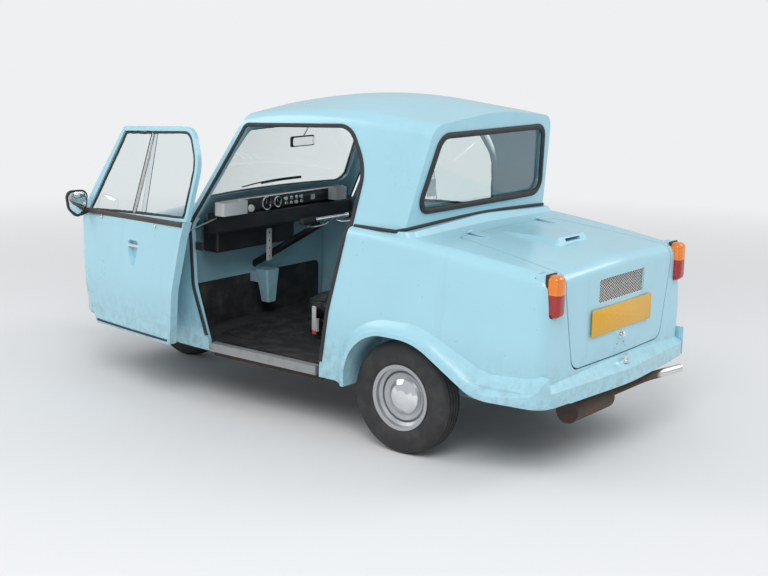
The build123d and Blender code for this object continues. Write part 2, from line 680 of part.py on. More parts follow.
def grille():
    """Diamond mesh panel set into the lid's rear face."""
    middle_z = (GRILLE_LOW_Z + GRILLE_HIGH_Z) / 2
    half_y, half_z = MESH_PITCH_Y / 2 - MESH_BAR, MESH_PITCH_Z / 2 - MESH_BAR
    diamonds = []
    rows = int((GRILLE_HIGH_Z - GRILLE_LOW_Z - 2 * GRILLE_RIM) / MESH_PITCH_Z)
    columns = int(2 * (GRILLE_HALF - GRILLE_RIM) / MESH_PITCH_Y)
    for row in range(2 * rows - 1):
        count = columns - row % 2
        z = middle_z + (row - (rows - 1)) * MESH_PITCH_Z / 2
        for column in range(count):
            y = (column - (count - 1) / 2) * MESH_PITCH_Y
            corners = ((y - half_y, z, 0.0), (y, z - half_z, 0.0), (y + half_y, z, 0.0), (y, z + half_z, 0.0))
            diamonds.append(rounded_wire(corners))
    plane_x = REAR_FACE_X + GRILLE_SET_BACK
    sheet = Face(rounded_wire(grille_outline(0.0)), diamonds)
    plane = Plane(origin=(plane_x - GRILLE_THICK / 2, 0, 0), x_dir=(0, 1, 0), z_dir=(1, 0, 0))
    return extrude(plane * sheet, amount=GRILLE_THICK, dir=(1, 0, 0))


def bonnet_region(gap=0.0):
    """Space that the bonnet lid takes up in the nose."""
    outline = ((BONNET_REAR_X - gap, BONNET_REAR_HALF + gap, 60.0),
               (BONNET_FRONT_X + gap, BONNET_FRONT_HALF + gap, 60.0))
    return plan_prism(mirrored(outline), 560.0, 1100.0)


def headlamp_bowls():
    """Holes in the nose for the headlamps."""
    holes = [rod((HEADLAMP_BACK_X, side * HEADLAMP_Y, HEADLAMP_Z), (2400.0, side * HEADLAMP_Y, HEADLAMP_Z),
                 HEADLAMP_RADIUS) for side in (1, -1)]
    return holes[0] + holes[1]


def headlamp(side):
    """Round headlamp: bowl, rim and domed glass as one plain unit."""
    y = side * HEADLAMP_Y
    wide = HEADLAMP_RADIUS - FIT_GAP
    corners = ((HEADLAMP_BACK_X, 0.0, 0.0), (HEADLAMP_BACK_X, wide * 0.6, 0.0),
               (HEADLAMP_FACE_X - 60.0, wide, 0.0), (HEADLAMP_FACE_X, wide, 8.0),
               (HEADLAMP_FACE_X + 22.0, wide * 0.4, 60.0), (HEADLAMP_FACE_X + 24.0, 0.0, 0.0))
    plane = Plane(origin=(0.0, y, HEADLAMP_Z), x_dir=(1, 0, 0), z_dir=(0, 0, 1))
    return revolve(plane * make_face(rounded_wire(corners)), Axis((0, y, HEADLAMP_Z), (1, 0, 0))).solids()[0]


def lamp_block(side, gap=0.0):
    """Tall rear lamp that fills its hole at the tail's corner."""
    y = side * LAMP_Y
    half, low, high = LAMP_HALF + gap, LAMP_LOW_Z - gap, LAMP_HIGH_Z + gap
    outline = ((y - half, low, 12.0), (y - half, high, 12.0), (y + half, high, 12.0), (y + half, low, 12.0))
    return cross_prism(outline, LAMP_FACE_X, LAMP_BACK_X)


def both_ways(half):
    """Whole wheel section from its (radius, offset) outer half."""
    return tuple((r, w, 0.0) for r, w in half) + tuple((r, -w, 0.0) for r, w in reversed(half))


def turned(x, y, side, corners):
    """Ring turned about an axle at (x, y) from (radius, outward offset, corner radius) corners."""
    plane = Plane(origin=(x, y, TYRE_RADIUS), x_dir=(0, 0, 1), z_dir=(-side, 0, 0))
    face = plane * make_face(rounded_wire(corners))
    return revolve(face, Axis((x, y, TYRE_RADIUS), (0, 1, 0)))


def make_wheel(name, x, y, side):
    """Tyre, pressed steel rim with its hub, and domed hubcap."""
    half = RIM_WIDTH / 2
    seat = RIM_RADIUS - 6.0
    tyre = ((seat, half - 4.2), (TYRE_RADIUS - 18.0, TYRE_WIDTH / 2), (TYRE_RADIUS, TYRE_WIDTH / 2 - 13.0))
    save(name + "_tyre", turned(x, y, side, both_ways(tyre)))

    outer = seat - FIT_GAP
    inner = outer - STEEL
    barrel = ((WELL_RADIUS, WELL_HALF), (outer, WELL_HALF + 8.0), (outer, half - 3.5),
              (RIM_RADIUS + 6.0, half - 1.0), (RIM_RADIUS + 6.0, half + 3.0), (inner, half),
              (inner, WELL_HALF + 11.0), (WELL_RADIUS - STEEL, WELL_HALF + 3.0))
    disc = ((AXLE_RADIUS + SHAFT_GAP, -30.0, 0.0), (HUB_RADIUS, -30.0, 0.0), (HUB_RADIUS, 13.0, 0.0),
            (80.0, 14.0, 0.0), (98.0, 21.0, 0.0), (WELL_RADIUS - 2.0, 3.0, 0.0),
            (WELL_RADIUS - 2.0, 12.0, 0.0), (101.0, 26.0, 0.0), (80.0, 18.0, 0.0),
            (AXLE_RADIUS + SHAFT_GAP, 18.0, 0.0))
    save(name + "_rim", turned(x, y, side, both_ways(barrel)) + turned(x, y, side, disc))

    edge = 18.0 + FIT_GAP
    cap = ((0.0, 46.0, 0.0), (30.0, 44.5, 0.0), (56.0, 37.0, 0.0), (HUBCAP_RADIUS, 27.0, 0.0),
           (HUBCAP_RADIUS, edge, 0.0), (HUBCAP_RADIUS - 8.0, edge, 0.0), (52.0, 35.0, 0.0), (0.0, 42.0, 0.0))
    save(name + "_hubcap", turned(x, y, side, cap))


def make_running_gear():
    """Chassis, rear arms, front fork and the three wheels."""
    bars = []
    for x_low, x_high, y_low, y_high, z_low, z_high in LONG_BARS:
        bars.append(block((x_low, y_low, z_low), (x_high, y_high, z_high)))
        bars.append(block((x_low, -y_high, z_low), (x_high, -y_low, z_high)))
    for x, half, z_low, z_high in CROSS_BARS:
        bars.append(block((x, -half, z_low), (x + RAIL_WIDE, half, z_high)))
    spine = block((TOE_X + 30.0, -30.0, TOWER_Z), (WHEELBASE - 20.0, 30.0, TOWER_Z + RAIL_WIDE))
    rails = spine + bars
    head = rod((WHEELBASE, 0.0, 560.0), (WHEELBASE, 0.0, 680.0), STEM_R + 14.0)
    head_bore = rod((WHEELBASE, 0.0, 540.0), (WHEELBASE, 0.0, 700.0), STEM_R + SHAFT_GAP)
    save("chassis_frame", rails + head - head_bore)

    arms = []
    track_y = REAR_TRACK / 2
    pivot_x, pivot_z, pivot_radius = ARM_PIVOT
    for side in (1, -1):
        plate_low, plate_high = sorted(side * y for y in ARM_Y)
        arm = side_prism(ARM, plate_low, plate_high)
        for x, z, y_from, y_to, radius in (
            (pivot_x, pivot_z, 330.0 + FIT_GAP, ARM_Y[0] + 1.0, pivot_radius),
            (0.0, TYRE_RADIUS, ARM_Y[1] - 5.0, track_y + 8.0, AXLE_RADIUS),
            (0.0, TYRE_RADIUS, 500.0, track_y - 30.0 - FIT_GAP, BRAKE_RADIUS),
        ):
            arm = arm + rod((x, side * y_from, z), (x, side * y_to, z), radius)
        arms.append(arm.solids()[0])
    save("rear_arms", Compound(children=arms))

    crown_z = 2 * TYRE_RADIUS + 12.0
    fork = block((WHEELBASE - 26.0, -FORK_HALF - BLADE / 2, crown_z),
                 (WHEELBASE + 26.0, 40.0, crown_z + 22.0))
    outline = ((WHEELBASE - 24.0, crown_z + 10.0, 0.0), (WHEELBASE - 32.0, TYRE_RADIUS - 32.0, 28.0),
               (WHEELBASE + 32.0, TYRE_RADIUS - 32.0, 28.0), (WHEELBASE + 24.0, crown_z + 10.0, 0.0))
    fork = fork + side_prism(outline, -FORK_HALF - BLADE / 2, -FORK_HALF + BLADE / 2)
    fork = fork + rod((WHEELBASE, 0.0, crown_z + 10.0), (WHEELBASE, 0.0, 700.0), STEM_R)
    fork = fork + rod((WHEELBASE, -FORK_HALF, TYRE_RADIUS), (WHEELBASE, 8.0, TYRE_RADIUS), AXLE_RADIUS)
    fork = fork + rod((WHEELBASE, -FORK_HALF, TYRE_RADIUS), (WHEELBASE, -30.0 - FIT_GAP, TYRE_RADIUS), 46.0)
    save("front_fork", fork)

    make_wheel("wheel_rear_left", 0.0, REAR_TRACK / 2, 1)
    make_wheel("wheel_rear_right", 0.0, -REAR_TRACK / 2, -1)
    make_wheel("wheel_front", WHEELBASE, 0.0, 1)

    foot_z = RAIL_TOP_Z + FIT_GAP
    engine = block((*ENGINE_LOW, foot_z), (*ENGINE_HIGH, ENGINE_TOP_Z))
    feet = block((-480.0, -ENGINE_FOOT_HALF, foot_z), (-440.0, ENGINE_FOOT_HALF, 330.0))
    save("engine", engine + feet)
    silencer = rod((SILENCER_X, -100.0, SILENCER_Z), (SILENCER_X, 220.0, SILENCER_Z), SILENCER_RADIUS)
    path = Wire(FilletPolyline((SILENCER_X, -80.0, SILENCER_Z), (SILENCER_X, -190.0, SILENCER_Z),
                               (-690.0, -262.0, 280.0), (-752.0, -470.0, 292.0), radius=(60.0, 80.0)).edges())
    pipe = sweep(Plane(origin=path @ 0, z_dir=path % 0) * Circle(PIPE_RADIUS), path=path)
    hanger = block((SILENCER_X, 30.0, 236.0), (REAR_RAIL_TAIL_X - FIT_GAP, 60.0, 262.0))
    save("exhaust", silencer + pipe + hanger)


def make_cabin_fittings():
    """Floor, bulkheads, dashboard, seat and steering column."""
    floor = ((BULKHEAD_X + 20.0 + FIT_GAP, ARCH_BOX_Y, 0.0), (LONG_RAIL_X, ARCH_BOX_Y, 0.0),
             (LONG_RAIL_X, CABIN_HALF, 0.0), (1110.0, CABIN_HALF, 0.0), (TOE_X, 528.0, 0.0))
    save("floor_pan", plan_prism(mirrored(floor), FLOOR_Z - FLOOR_THICK, FLOOR_Z))
    treads = []
    for side in (1, -1):
        low, high = sorted((side * (RAIL_Y + FIT_GAP), side * TREAD_Y))
        treads.append(block((TREAD_X[0], low, TREAD_Z[0]), (TREAD_X[1], high, TREAD_Z[1])).solids()[0])
    save("sill_treads", Compound(children=treads))

    wall = upright((ARCH_BOX_Y, FLOOR_Z - FLOOR_THICK), (ARCH_BOX_Y, ARCH_BOX_Z), (BULKHEAD_HALF, ARCH_BOX_Z),
                   (BULKHEAD_HALF, 830.0), (560.0, SHELF_Z[1]))
    shelf = block((SHELF_LOW_X, -SHELF_HALF, SHELF_Z[0]), (BULKHEAD_X + 10.0, SHELF_HALF, SHELF_Z[1]))
    save("rear_bulkhead", cross_prism(wall, BULKHEAD_X, BULKHEAD_X + 20.0) + shelf)

    sections = []
    for x, z, half_x, half_y in POST_SECTIONS:
        corners = ((-half_x, -half_y), (half_x, -half_y), (half_x, half_y), (-half_x, half_y))
        wire = rounded_wire(tuple((u, v, POST_CORNER) for u, v in corners))
        sections.append(Plane(origin=(x, 0.0, z)) * wire)
    post = Solid.make_loft(sections)
    brace = block((TOE_X - 90.0, -40.0, 470.0), (TOE_X - TOE_BOARD / 2, 40.0, 525.0))
    save("toe_board", cross_prism(upright(*TOE_HALF), TOE_X - TOE_BOARD, TOE_X) + post + brace)

    dash = side_prism(DASH, -DASH_HALF, DASH_HALF)
    for side in (1, -1):
        low, high = sorted(side * y for y in BRACKET_Y)
        for x_low, x_high, z_low, z_high in (
            (1235.0, 1290.0, 795.0, 810.0),
            (1280.0, 1290.0, 760.0, 810.0),
            (1280.0, TOE_X - TOE_BOARD, 760.0, 772.0),
        ):
            dash = dash + block((x_low, low, z_low), (x_high, high, z_high))
    save("dashboard", dash)
    make_steering_and_seat()


def upright(*half):
    """Closed outline across the cabin from the (y, z) corners of its left half, foot first."""
    left = tuple((y, z, 0.0) for y, z in half)
    return left + tuple((-y, z, r) for y, z, r in reversed(left))


def make_steering_and_seat():
    """Steering column and tiller, the seat on its frame and the belt's buckle."""
    head = Vector(*TILLER_HEAD)
    along = Vector(cos(radians(COLUMN_RAKE)), 0, -sin(radians(COLUMN_RAKE)))
    column = rod(tuple(head + along * 60.0), tuple(head + along * 620.0), COLUMN_RADIUS)
    column = column - rod(tuple(head + along * 50.0), tuple(head + along * 190.0), TILLER_STEM_R + SHAFT_GAP)
    ahead = block((TOE_X - TOE_BOARD, -100.0, 300.0), (TOE_X + 300.0, 100.0, 900.0))
    save("steering_column", column - ahead)
    tiller = rod(tuple(head), tuple(head + along * 180.0), TILLER_STEM_R)
    for side in (1, -1):
        end = head + Vector(0, side * TILLER_HALF, 0)
        grip = head + Vector(0, side * (TILLER_HALF - GRIP_LONG), 0)
        tiller = tiller + rod(tuple(head), tuple(end), TILLER_BAR_R) + rod(tuple(grip), tuple(end), GRIP_R)
    save("tiller", tiller)

    half = SEAT_WIDTH / 2
    back_x, front_x = SEAT_X - SEAT_DEPTH, SEAT_X + 100.0
    box = block((back_x + 60.0, -half + 30.0, FLOOR_Z + FIT_GAP), (front_x - 60.0, half - 30.0, SEAT_PAN_Z))
    pan = block((back_x + 20.0, -half + 10.0, SEAT_PAN_Z - 14.0), (front_x - 20.0, half - 10.0, SEAT_PAN_Z))
    save("seat_frame", box + pan)
    seated_z = SEAT_PAN_Z + FIT_GAP
    cushion = block((back_x + 110.0, -half, seated_z), (front_x, half, SEAT_TOP_Z))
    save("seat_cushion", fillet(cushion.edges(), SEAT_ROLL))
    lean = Pos(back_x + 58.6, 0, seated_z + 4.0) * Rot(0, -SEAT_LEAN, 0)
    squab = block((-45.0, -half, 8.0), (40.0, half, 560.0))
    save("seat_back", lean * fillet(squab.edges(), SEAT_ROLL))
    stalk = block((770.0, half + FIT_GAP, 340.0), (800.0, half + 14.0, 402.0))
    hook = block((776.0, half - 10.0 + FIT_GAP, 392.0), (796.0, half + 6.0, 399.0))
    save("seat_belt_buckle", stalk + hook)


def door_outline(low_z, high_z):
    """Lower door panel outline inside the doorway, with its shut gap."""
    gap = SHUT_GAP
    return ((442.0 + gap, low_z + gap, 10.0), (352.0 + gap, 800.0, 60.0), (324.0 + gap, high_z, 0.0),
            (1252.0 - gap, high_z - WAIST_FALL, 0.0), (1208.0 - gap, 560.0, 400.0),
            (1131.0 - gap, low_z + gap, 10.0))


def door_parts():
    """Solids of the left door at its closed place: panel, window frame, panes, handle, mirror."""
    panel = body_loft(DOOR_ROWS) & side_prism(door_outline(300.0, WAIST_Z), 556.0, 900.0)
    panel = panel - body_loft(DOOR_ROWS, DOOR_THICK, 200.0)
    plane = Plane(origin=(HANDLE_X, DOOR_FACE_Y + 20.0, HANDLE_Z), x_dir=(-1, 0, 0), z_dir=(0, 1, 0))
    panel = biggest(panel - extrude(plane * make_face(rounded_wire(RECESS)), amount=-44.0, taper=18))
    handle = block((HANDLE_X - 46.0, DOOR_FACE_Y - 16.0, HANDLE_Z + 4.0),
                   (HANDLE_X + 46.0, DOOR_FACE_Y - 2.0, HANDLE_Z + 20.0))
    handle = biggest(fillet(handle.edges(), 5.0) - panel)

    lean = radians(FRAME_LEAN)
    rise = 1.0 / cos(lean)
    rear_x, front_x = 324.0 + SHUT_GAP, 1252.0 - SHUT_GAP
    top, front_foot = (FRAME_TOP_Z - WAIST_Z) * rise, -WAIST_FALL * rise
    inner_top = (
        (300.0 + FRAME_TUBE, (1150.0 - WAIST_Z) * rise, 180.0),
        (400.0, top - FRAME_TUBE, 80.0),
        (961.0, top - 26.0 * rise - FRAME_TUBE, 10.0),
    )
    plane = Plane(origin=(0.0, FRAME_Y, WAIST_Z), x_dir=(1, 0, 0), z_dir=(0, -cos(lean), -sin(lean)))
    bar = FRAME_TUBE / 2
    outer = ((rear_x, 0.0, 0.0), (300.0, (1150.0 - WAIST_Z) * rise, 200.0), (392.0, top, 100.0),
             (972.0, top - 26.0 * rise, 24.0), (front_x, front_foot, 0.0))
    inner = ((rear_x + FRAME_TUBE, -60.0, 0.0), *inner_top, (front_x - FRAME_TUBE, -60.0 - WAIST_FALL, 0.0))
    sill = ((rear_x, 0.0, 0.0), (front_x, front_foot, 0.0), (1246.0, front_foot + 16.0, 0.0),
            (330.0, 16.0, 0.0))
    light = ((rear_x + FRAME_TUBE, 16.0, 0.0), *inner_top,
             (front_x - FRAME_TUBE - 12.0, front_foot + 18.0, 0.0))
    ring, hole, rail, glazing = (
        extrude(plane * make_face(rounded_wire(corners)), amount=reach, both=True)
        for corners, reach in ((outer, bar), (inner, bar + 5.0), (sill, bar), (light, bar))
    )
    ring = ((ring - hole) + rail) - panel
    slab = glazing - ring
    panes = []
    for low_x, high_x, offset in ((200.0, PANE_SPLIT_X + 12.0, -4.0), (PANE_SPLIT_X - 12.0, 1300.0, 4.0)):
        layer = extrude(plane.offset(offset - 2.0) * Pos(750.0, 200.0) * Rectangle(1200.0, 800.0), amount=4.0)
        panes.append(biggest(slab & layer & block((low_x, 0.0, 0.0), (high_x, 900.0, 1500.0))))

    mirror_at = Vector(*MIRROR_AT)
    glass = Plane(origin=mirror_at, x_dir=(0, 1, 0), z_dir=(1, 0, 0)) * make_face(rounded_wire(MIRROR))
    arm_foot = (mirror_at.X + 8.0, FRAME_Y + bar - 6.0, WAIST_Z - 24.0)
    arm = rod(tuple(mirror_at + Vector(8.0, -20.0, -60.0)), arm_foot, 8.0)
    mirror = biggest(extrude(glass, amount=16.0) + arm - panel - ring)
    return {
        "panel": panel,
        "window_frame": biggest(ring),
        "panes": Compound(children=panes),
        "handle": handle,
        "mirror": mirror,
    }


def make_doors():
    """Right door closed, left door swung out and slid forward as it stands open."""
    door = door_parts()
    turn = Rot(0, 0, -DOOR_SWING) * Rot(0, DOOR_DROOP, 0)
    opened = Pos(*DOOR_OPEN_AT) * turn * Pos(*[-v for v in DOOR_PIVOT])
    for kind, shape in door.items():
        save("door_right_" + kind, shape.mirror(Plane.XZ))
        save("door_left_" + kind, opened * shape)
    start = (opened * Pos(350.0, DOOR_FACE_Y - DOOR_THICK - 22.0, 845.0)).position
    dash_end = Vector(STAY_END[0], DASH_HALF, STAY_END[2])
    stay = rod(tuple(start + (start - dash_end).normalized() * 6.0), STAY_END, STAY_RADIUS)
    stay = stay - block((1100.0, 400.0, 800.0), (1300.0, DASH_HALF + FIT_GAP, 900.0))
    save("door_left_stay", biggest(stay - opened * door["panel"]))


def main():
    """Write every sub-part."""
    os.makedirs("parts", exist_ok=True)
    make_tail()
    make_nose()
    make_cabin_top()
    make_running_gear()
    make_cabin_fittings()
    make_doors()


if __name__ == "__main__":
    main()
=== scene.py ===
"""Looks of a small single-seat three-wheeled carriage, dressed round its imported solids.

Everything is in metres in the part's own frame: +X forward, +Y to the left, +Z up, with the
ground at Z = 0 and X = 0 at the rear axle.
"""
from __future__ import annotations

import logging
from dataclasses import dataclass
from enum import Enum
from math import acos, atan2, cos, pi, radians, sin, tan
from typing import Iterable, Sequence

import bmesh
import bpy
from mathutils import Matrix, Vector
from mathutils.bvhtree import BVHTree


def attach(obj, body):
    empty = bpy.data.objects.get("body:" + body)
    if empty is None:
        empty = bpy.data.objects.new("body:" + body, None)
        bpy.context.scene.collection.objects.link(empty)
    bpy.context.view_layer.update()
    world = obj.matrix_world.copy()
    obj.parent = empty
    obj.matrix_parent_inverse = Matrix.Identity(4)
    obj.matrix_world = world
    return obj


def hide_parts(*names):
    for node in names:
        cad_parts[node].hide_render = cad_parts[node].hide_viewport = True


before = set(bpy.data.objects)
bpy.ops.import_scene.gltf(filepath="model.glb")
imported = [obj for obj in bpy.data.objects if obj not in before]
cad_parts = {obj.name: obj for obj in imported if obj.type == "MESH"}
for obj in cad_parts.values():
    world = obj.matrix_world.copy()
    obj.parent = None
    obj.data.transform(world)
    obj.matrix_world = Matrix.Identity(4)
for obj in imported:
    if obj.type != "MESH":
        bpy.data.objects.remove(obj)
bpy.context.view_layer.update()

LOG = logging.getLogger("carriage")

Colour = tuple[float, float, float]
Corner = tuple[float, float, float]
Flat = tuple[float, float]
Socket = bpy.types.NodeSocket

CARRIAGE = "carriage"
SHELL = ("body_rear", "body_nose", "cabin_top")
SIDES = ((1.0, "left"), (-1.0, "right"))
WHEELBASE = 1.870
HALF_TRACK = 0.570
AXLE_Z = 0.244
ICE_BLUE: Colour = (0.345, 0.610, 0.705)
AHEAD = Vector((1.0, 0.0, 0.0))
BACK = Vector((-1.0, 0.0, 0.0))
LEFT = Vector((0.0, 1.0, 0.0))
RIGHT = Vector((0.0, -1.0, 0.0))
UP = Vector((0.0, 0.0, 1.0))
DOWN = Vector((0.0, 0.0, -1.0))
TINY = 1e-6
DOOR_OPEN = (Matrix.Translation((1.118, 0.800, 0.880)) @ Matrix.Rotation(radians(-10.4), 4, "Z")
             @ Matrix.Rotation(radians(1.4), 4, "Y") @ Matrix.Translation((-0.330, -0.628, -0.885)))
FLIP_SIDE = Matrix.Scale(-1.0, 4, (0.0, 1.0, 0.0))

# Places of a colour mix's sockets
MIX_FACTOR = 0
MIX_UNDER = 6
MIX_OVER = 7
MIX_RESULT = 2


class Slot(Enum):
    """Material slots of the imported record, one for each kind of finish."""

    BODY = "body_paint"
    GLASS = "glass"
    RUBBER = "floor_mat"
    ALLOY = "sill_alloy"
    BLACK = "dash_black"
    CHROME = "tiller_chrome"
    STEEL = "seat_steel"
    VINYL = "seat_vinyl"
    PLASTIC = "belt_plastic"
    LENS = "lamp_lens"
    CLEAR = "lamp_clear"
    TYRE = "tyre_rubber"
    RIM = "rim_steel"
    RUST = "chassis_steel"
    ENGINE = "engine_block"
    EXHAUST = "exhaust_steel"


# Finishes
class Recipe:
    """A material under construction: one Principled shader and the nodes that feed it."""

    def __init__(self, name: str, colour: Colour, roughness: float, metallic: float = 0.0) -> None:
        """Start a material.

        Args:
            name: The material's name.
            colour: Its base colour, linear.
            roughness: Its base roughness.
            metallic: 0 for a dielectric, 1 for bare metal.
        """
        self.material = bpy.data.materials.new(name)
        self.material.use_nodes = True
        self.nodes = self.material.node_tree.nodes
        self.links = self.material.node_tree.links
        self.shader = self.nodes["Principled BSDF"]
        self.colour = (*colour, 1.0)
        self.colour_socket: Socket | None = None
        self.set("Base Color", self.colour)
        self.set("Roughness", roughness)
        self.set("Metallic", metallic)

    def set(self, socket: str, value: float | tuple[float, ...]) -> None:
        """Set a number or colour on the shader itself."""
        self.shader.inputs[socket].default_value = value

    def coords(self, stretch: Corner = (1.0, 1.0, 1.0)) -> Socket:
        """Object coordinates, multiplied along X, Y and Z.

        Args:
            stretch: The factors.

        Returns:
            The vector socket.
        """
        place = self.nodes.new("ShaderNodeTexCoord")
        mapping = self.nodes.new("ShaderNodeMapping")
        mapping.inputs["Scale"].default_value = stretch
        self.links.new(place.outputs["Object"], mapping.inputs["Vector"])
        return mapping.outputs["Vector"]

    def noise(self, scale: float, detail: float, rough: float, stretch: Corner = (1.0, 1.0, 1.0),
              twist: float = 0.0) -> Socket:
        """Noise on object coordinates.

        Args:
            scale: Repeats per metre.
            detail: Octaves.
            rough: How strong the fine octaves are.
            stretch: Factors along X, Y and Z.
            twist: Distortion of the pattern.

        Returns:
            The factor socket.
        """
        node = self.nodes.new("ShaderNodeTexNoise")
        node.inputs["Scale"].default_value = scale
        node.inputs["Detail"].default_value = detail
        node.inputs["Roughness"].default_value = rough
        node.inputs["Distortion"].default_value = twist
        self.links.new(self.coords(stretch), node.inputs["Vector"])
        return node.outputs["Fac"]

    def axis(self, index: int) -> Socket:
        """One object coordinate, 0 for X, 1 for Y and 2 for Z.

        Args:
            index: Which coordinate.

        Returns:
            Its socket.
        """
        split = self.nodes.new("ShaderNodeSeparateXYZ")
        self.links.new(self.coords(), split.inputs[0])
        return split.outputs[index]

    def span(self, value: Socket, low: float, high: float, start: float = 0.0, end: float = 1.0) -> Socket:
        """Remap a value, clamped.

        Args:
            value: The socket to remap.
            low: Its value that becomes start.
            high: Its value that becomes end.
            start: What low becomes.
            end: What high becomes.

        Returns:
            The remapped socket.
        """
        node = self.nodes.new("ShaderNodeMapRange")
        for socket, number in zip(("From Min", "From Max", "To Min", "To Max"), (low, high, start, end)):
            node.inputs[socket].default_value = number
        self.links.new(value, node.inputs["Value"])
        return node.outputs["Result"]

    def maths(self, operation: str, first: Socket, second: Socket | float) -> Socket:
        """Combine two sockets, or a socket and a number, with one arithmetic step.

        Args:
            operation: The step, such as ADD.
            first: The first socket.
            second: The second socket, or a number.

        Returns:
            The result's socket.
        """
        node = self.nodes.new("ShaderNodeMath")
        node.operation = operation
        self.links.new(first, node.inputs[0])
        if isinstance(second, float):
            node.inputs[1].default_value = second
        else:
            self.links.new(second, node.inputs[1])
        return node.outputs[0]

    def tint(self, factor: Socket, colour: Colour) -> None:
        """Lay a colour over what the shader has so far, as far as a factor says.

        Args:
            factor: Socket that says how far.
            colour: The colour to lay on.
        """
        node = self.nodes.new("ShaderNodeMix")
        node.data_type = "RGBA"
        self.links.new(factor, node.inputs[MIX_FACTOR])
        if self.colour_socket is None:
            node.inputs[MIX_UNDER].default_value = self.colour
        else:
            self.links.new(self.colour_socket, node.inputs[MIX_UNDER])
        node.inputs[MIX_OVER].default_value = (*colour, 1.0)
        self.colour_socket = node.outputs[MIX_RESULT]
        self.links.new(self.colour_socket, self.shader.inputs["Base Color"])

    def uneven(self, factor: Socket, low: float, high: float) -> None:
        """Let the roughness run from low to high over the middle of a factor's range."""
        self.links.new(self.span(factor, 0.25, 0.75, low, high), self.shader.inputs["Roughness"])

    def bump(self, height: Socket, strength: float, distance: float) -> None:
        """Add surface relief to what the shader has so far.

        Args:
            height: Height socket.
            strength: 0 to 1.
            distance: Depth in metres.
        """
        node = self.nodes.new("ShaderNodeBump")
        node.inputs["Strength"].default_value = strength
        node.inputs["Distance"].default_value = distance
        self.links.new(height, node.inputs["Height"])
        link = self.shader.inputs["Normal"].links
        if link:
            self.links.new(link[0].from_socket, node.inputs["Normal"])
        self.links.new(node.outputs["Normal"], self.shader.inputs["Normal"])


@dataclass(frozen=True)
class Gelcoat:
    """Painted moulding: faintly mottled, with road dirt low down, streaks and fine orange peel."""

    name: str
    colour: Colour
    dirt: float = 0.5
    dirt_colour: Colour = (0.115, 0.100, 0.082)
    dirt_ends_z: float = 0.52
    dirt_full_z: float = 0.25
    chip_colour: Colour = (0.16, 0.19, 0.19)
    polish: float = 0.35
    polish_roughness: float = 0.12

    def make(self) -> bpy.types.Material:
        """Build the material.

        Returns:
            The material.
        """
        recipe = Recipe(self.name, self.colour, 0.30)
        cloud = recipe.noise(2.2, detail=5.0, rough=0.6)
        pale = tuple(min(1.0, part * 1.12 + 0.02) for part in self.colour)
        recipe.tint(recipe.span(cloud, low=0.35, high=0.75, start=0.0, end=0.45), pale)
        streak = recipe.noise(9.0, 6.0, 0.65, (1.0, 1.0, 0.16))
        dull = tuple(part * 0.72 for part in self.colour)
        recipe.tint(recipe.span(streak, low=0.56, high=0.80, start=0.0, end=0.30), dull)
        low = recipe.span(recipe.axis(2), self.dirt_ends_z, self.dirt_full_z)
        spatter = recipe.span(recipe.noise(26.0, detail=8.0, rough=0.7), low=0.42, high=0.68)
        road = recipe.maths("MULTIPLY", low, spatter)
        recipe.tint(recipe.maths("MULTIPLY", road, self.dirt), self.dirt_colour)
        chips = recipe.span(recipe.noise(70.0, 3.0, 0.5), 0.735, 0.75, 0.0, 0.55)
        recipe.tint(chips, self.chip_colour)
        recipe.uneven(cloud, low=0.24, high=0.40)
        recipe.bump(recipe.noise(160.0, detail=2.0, rough=0.5), strength=0.05, distance=0.0006)
        recipe.bump(recipe.noise(3.0, detail=2.0, rough=0.5), strength=0.10, distance=0.006)
        recipe.set("Coat Weight", self.polish)
        recipe.set("Coat Roughness", self.polish_roughness)
        return recipe.material


@dataclass(frozen=True)
class Rubber:
    """Black rubber, greyed by dust and weather."""

    name: str
    colour: Colour = (0.017, 0.018, 0.019)
    dust: float = 0.25
    grain: float = 260.0
    dust_colour: Colour = (0.13, 0.125, 0.115)

    def make(self) -> bpy.types.Material:
        """Build the material.

        Returns:
            The material.
        """
        recipe = Recipe(self.name, self.colour, 0.62)
        worn = recipe.noise(14.0, detail=6.0, rough=0.65)
        recipe.tint(recipe.span(worn, 0.45, 0.78, 0.0, self.dust), self.dust_colour)
        recipe.uneven(worn, low=0.52, high=0.78)
        recipe.bump(recipe.noise(self.grain, detail=3.0, rough=0.6), strength=0.18, distance=0.0008)
        return recipe.material


@dataclass(frozen=True)
class Metal:
    """Bare, plated or silver-painted metal with fine haze and specks."""

    name: str
    colour: Colour
    rough: Flat
    metallic: float = 1.0
    tarnish: Colour = (0.20, 0.17, 0.14)
    wear: float = 0.3

    def make(self) -> bpy.types.Material:
        """Build the material.

        Returns:
            The material.
        """
        recipe = Recipe(self.name, self.colour, self.rough[0], self.metallic)
        haze = recipe.noise(18.0, detail=7.0, rough=0.65)
        recipe.tint(recipe.span(haze, 0.55, 0.80, 0.0, self.wear), self.tarnish)
        recipe.uneven(haze, *self.rough)
        recipe.bump(recipe.noise(220.0, detail=3.0, rough=0.5), strength=0.06, distance=0.0004)
        return recipe.material


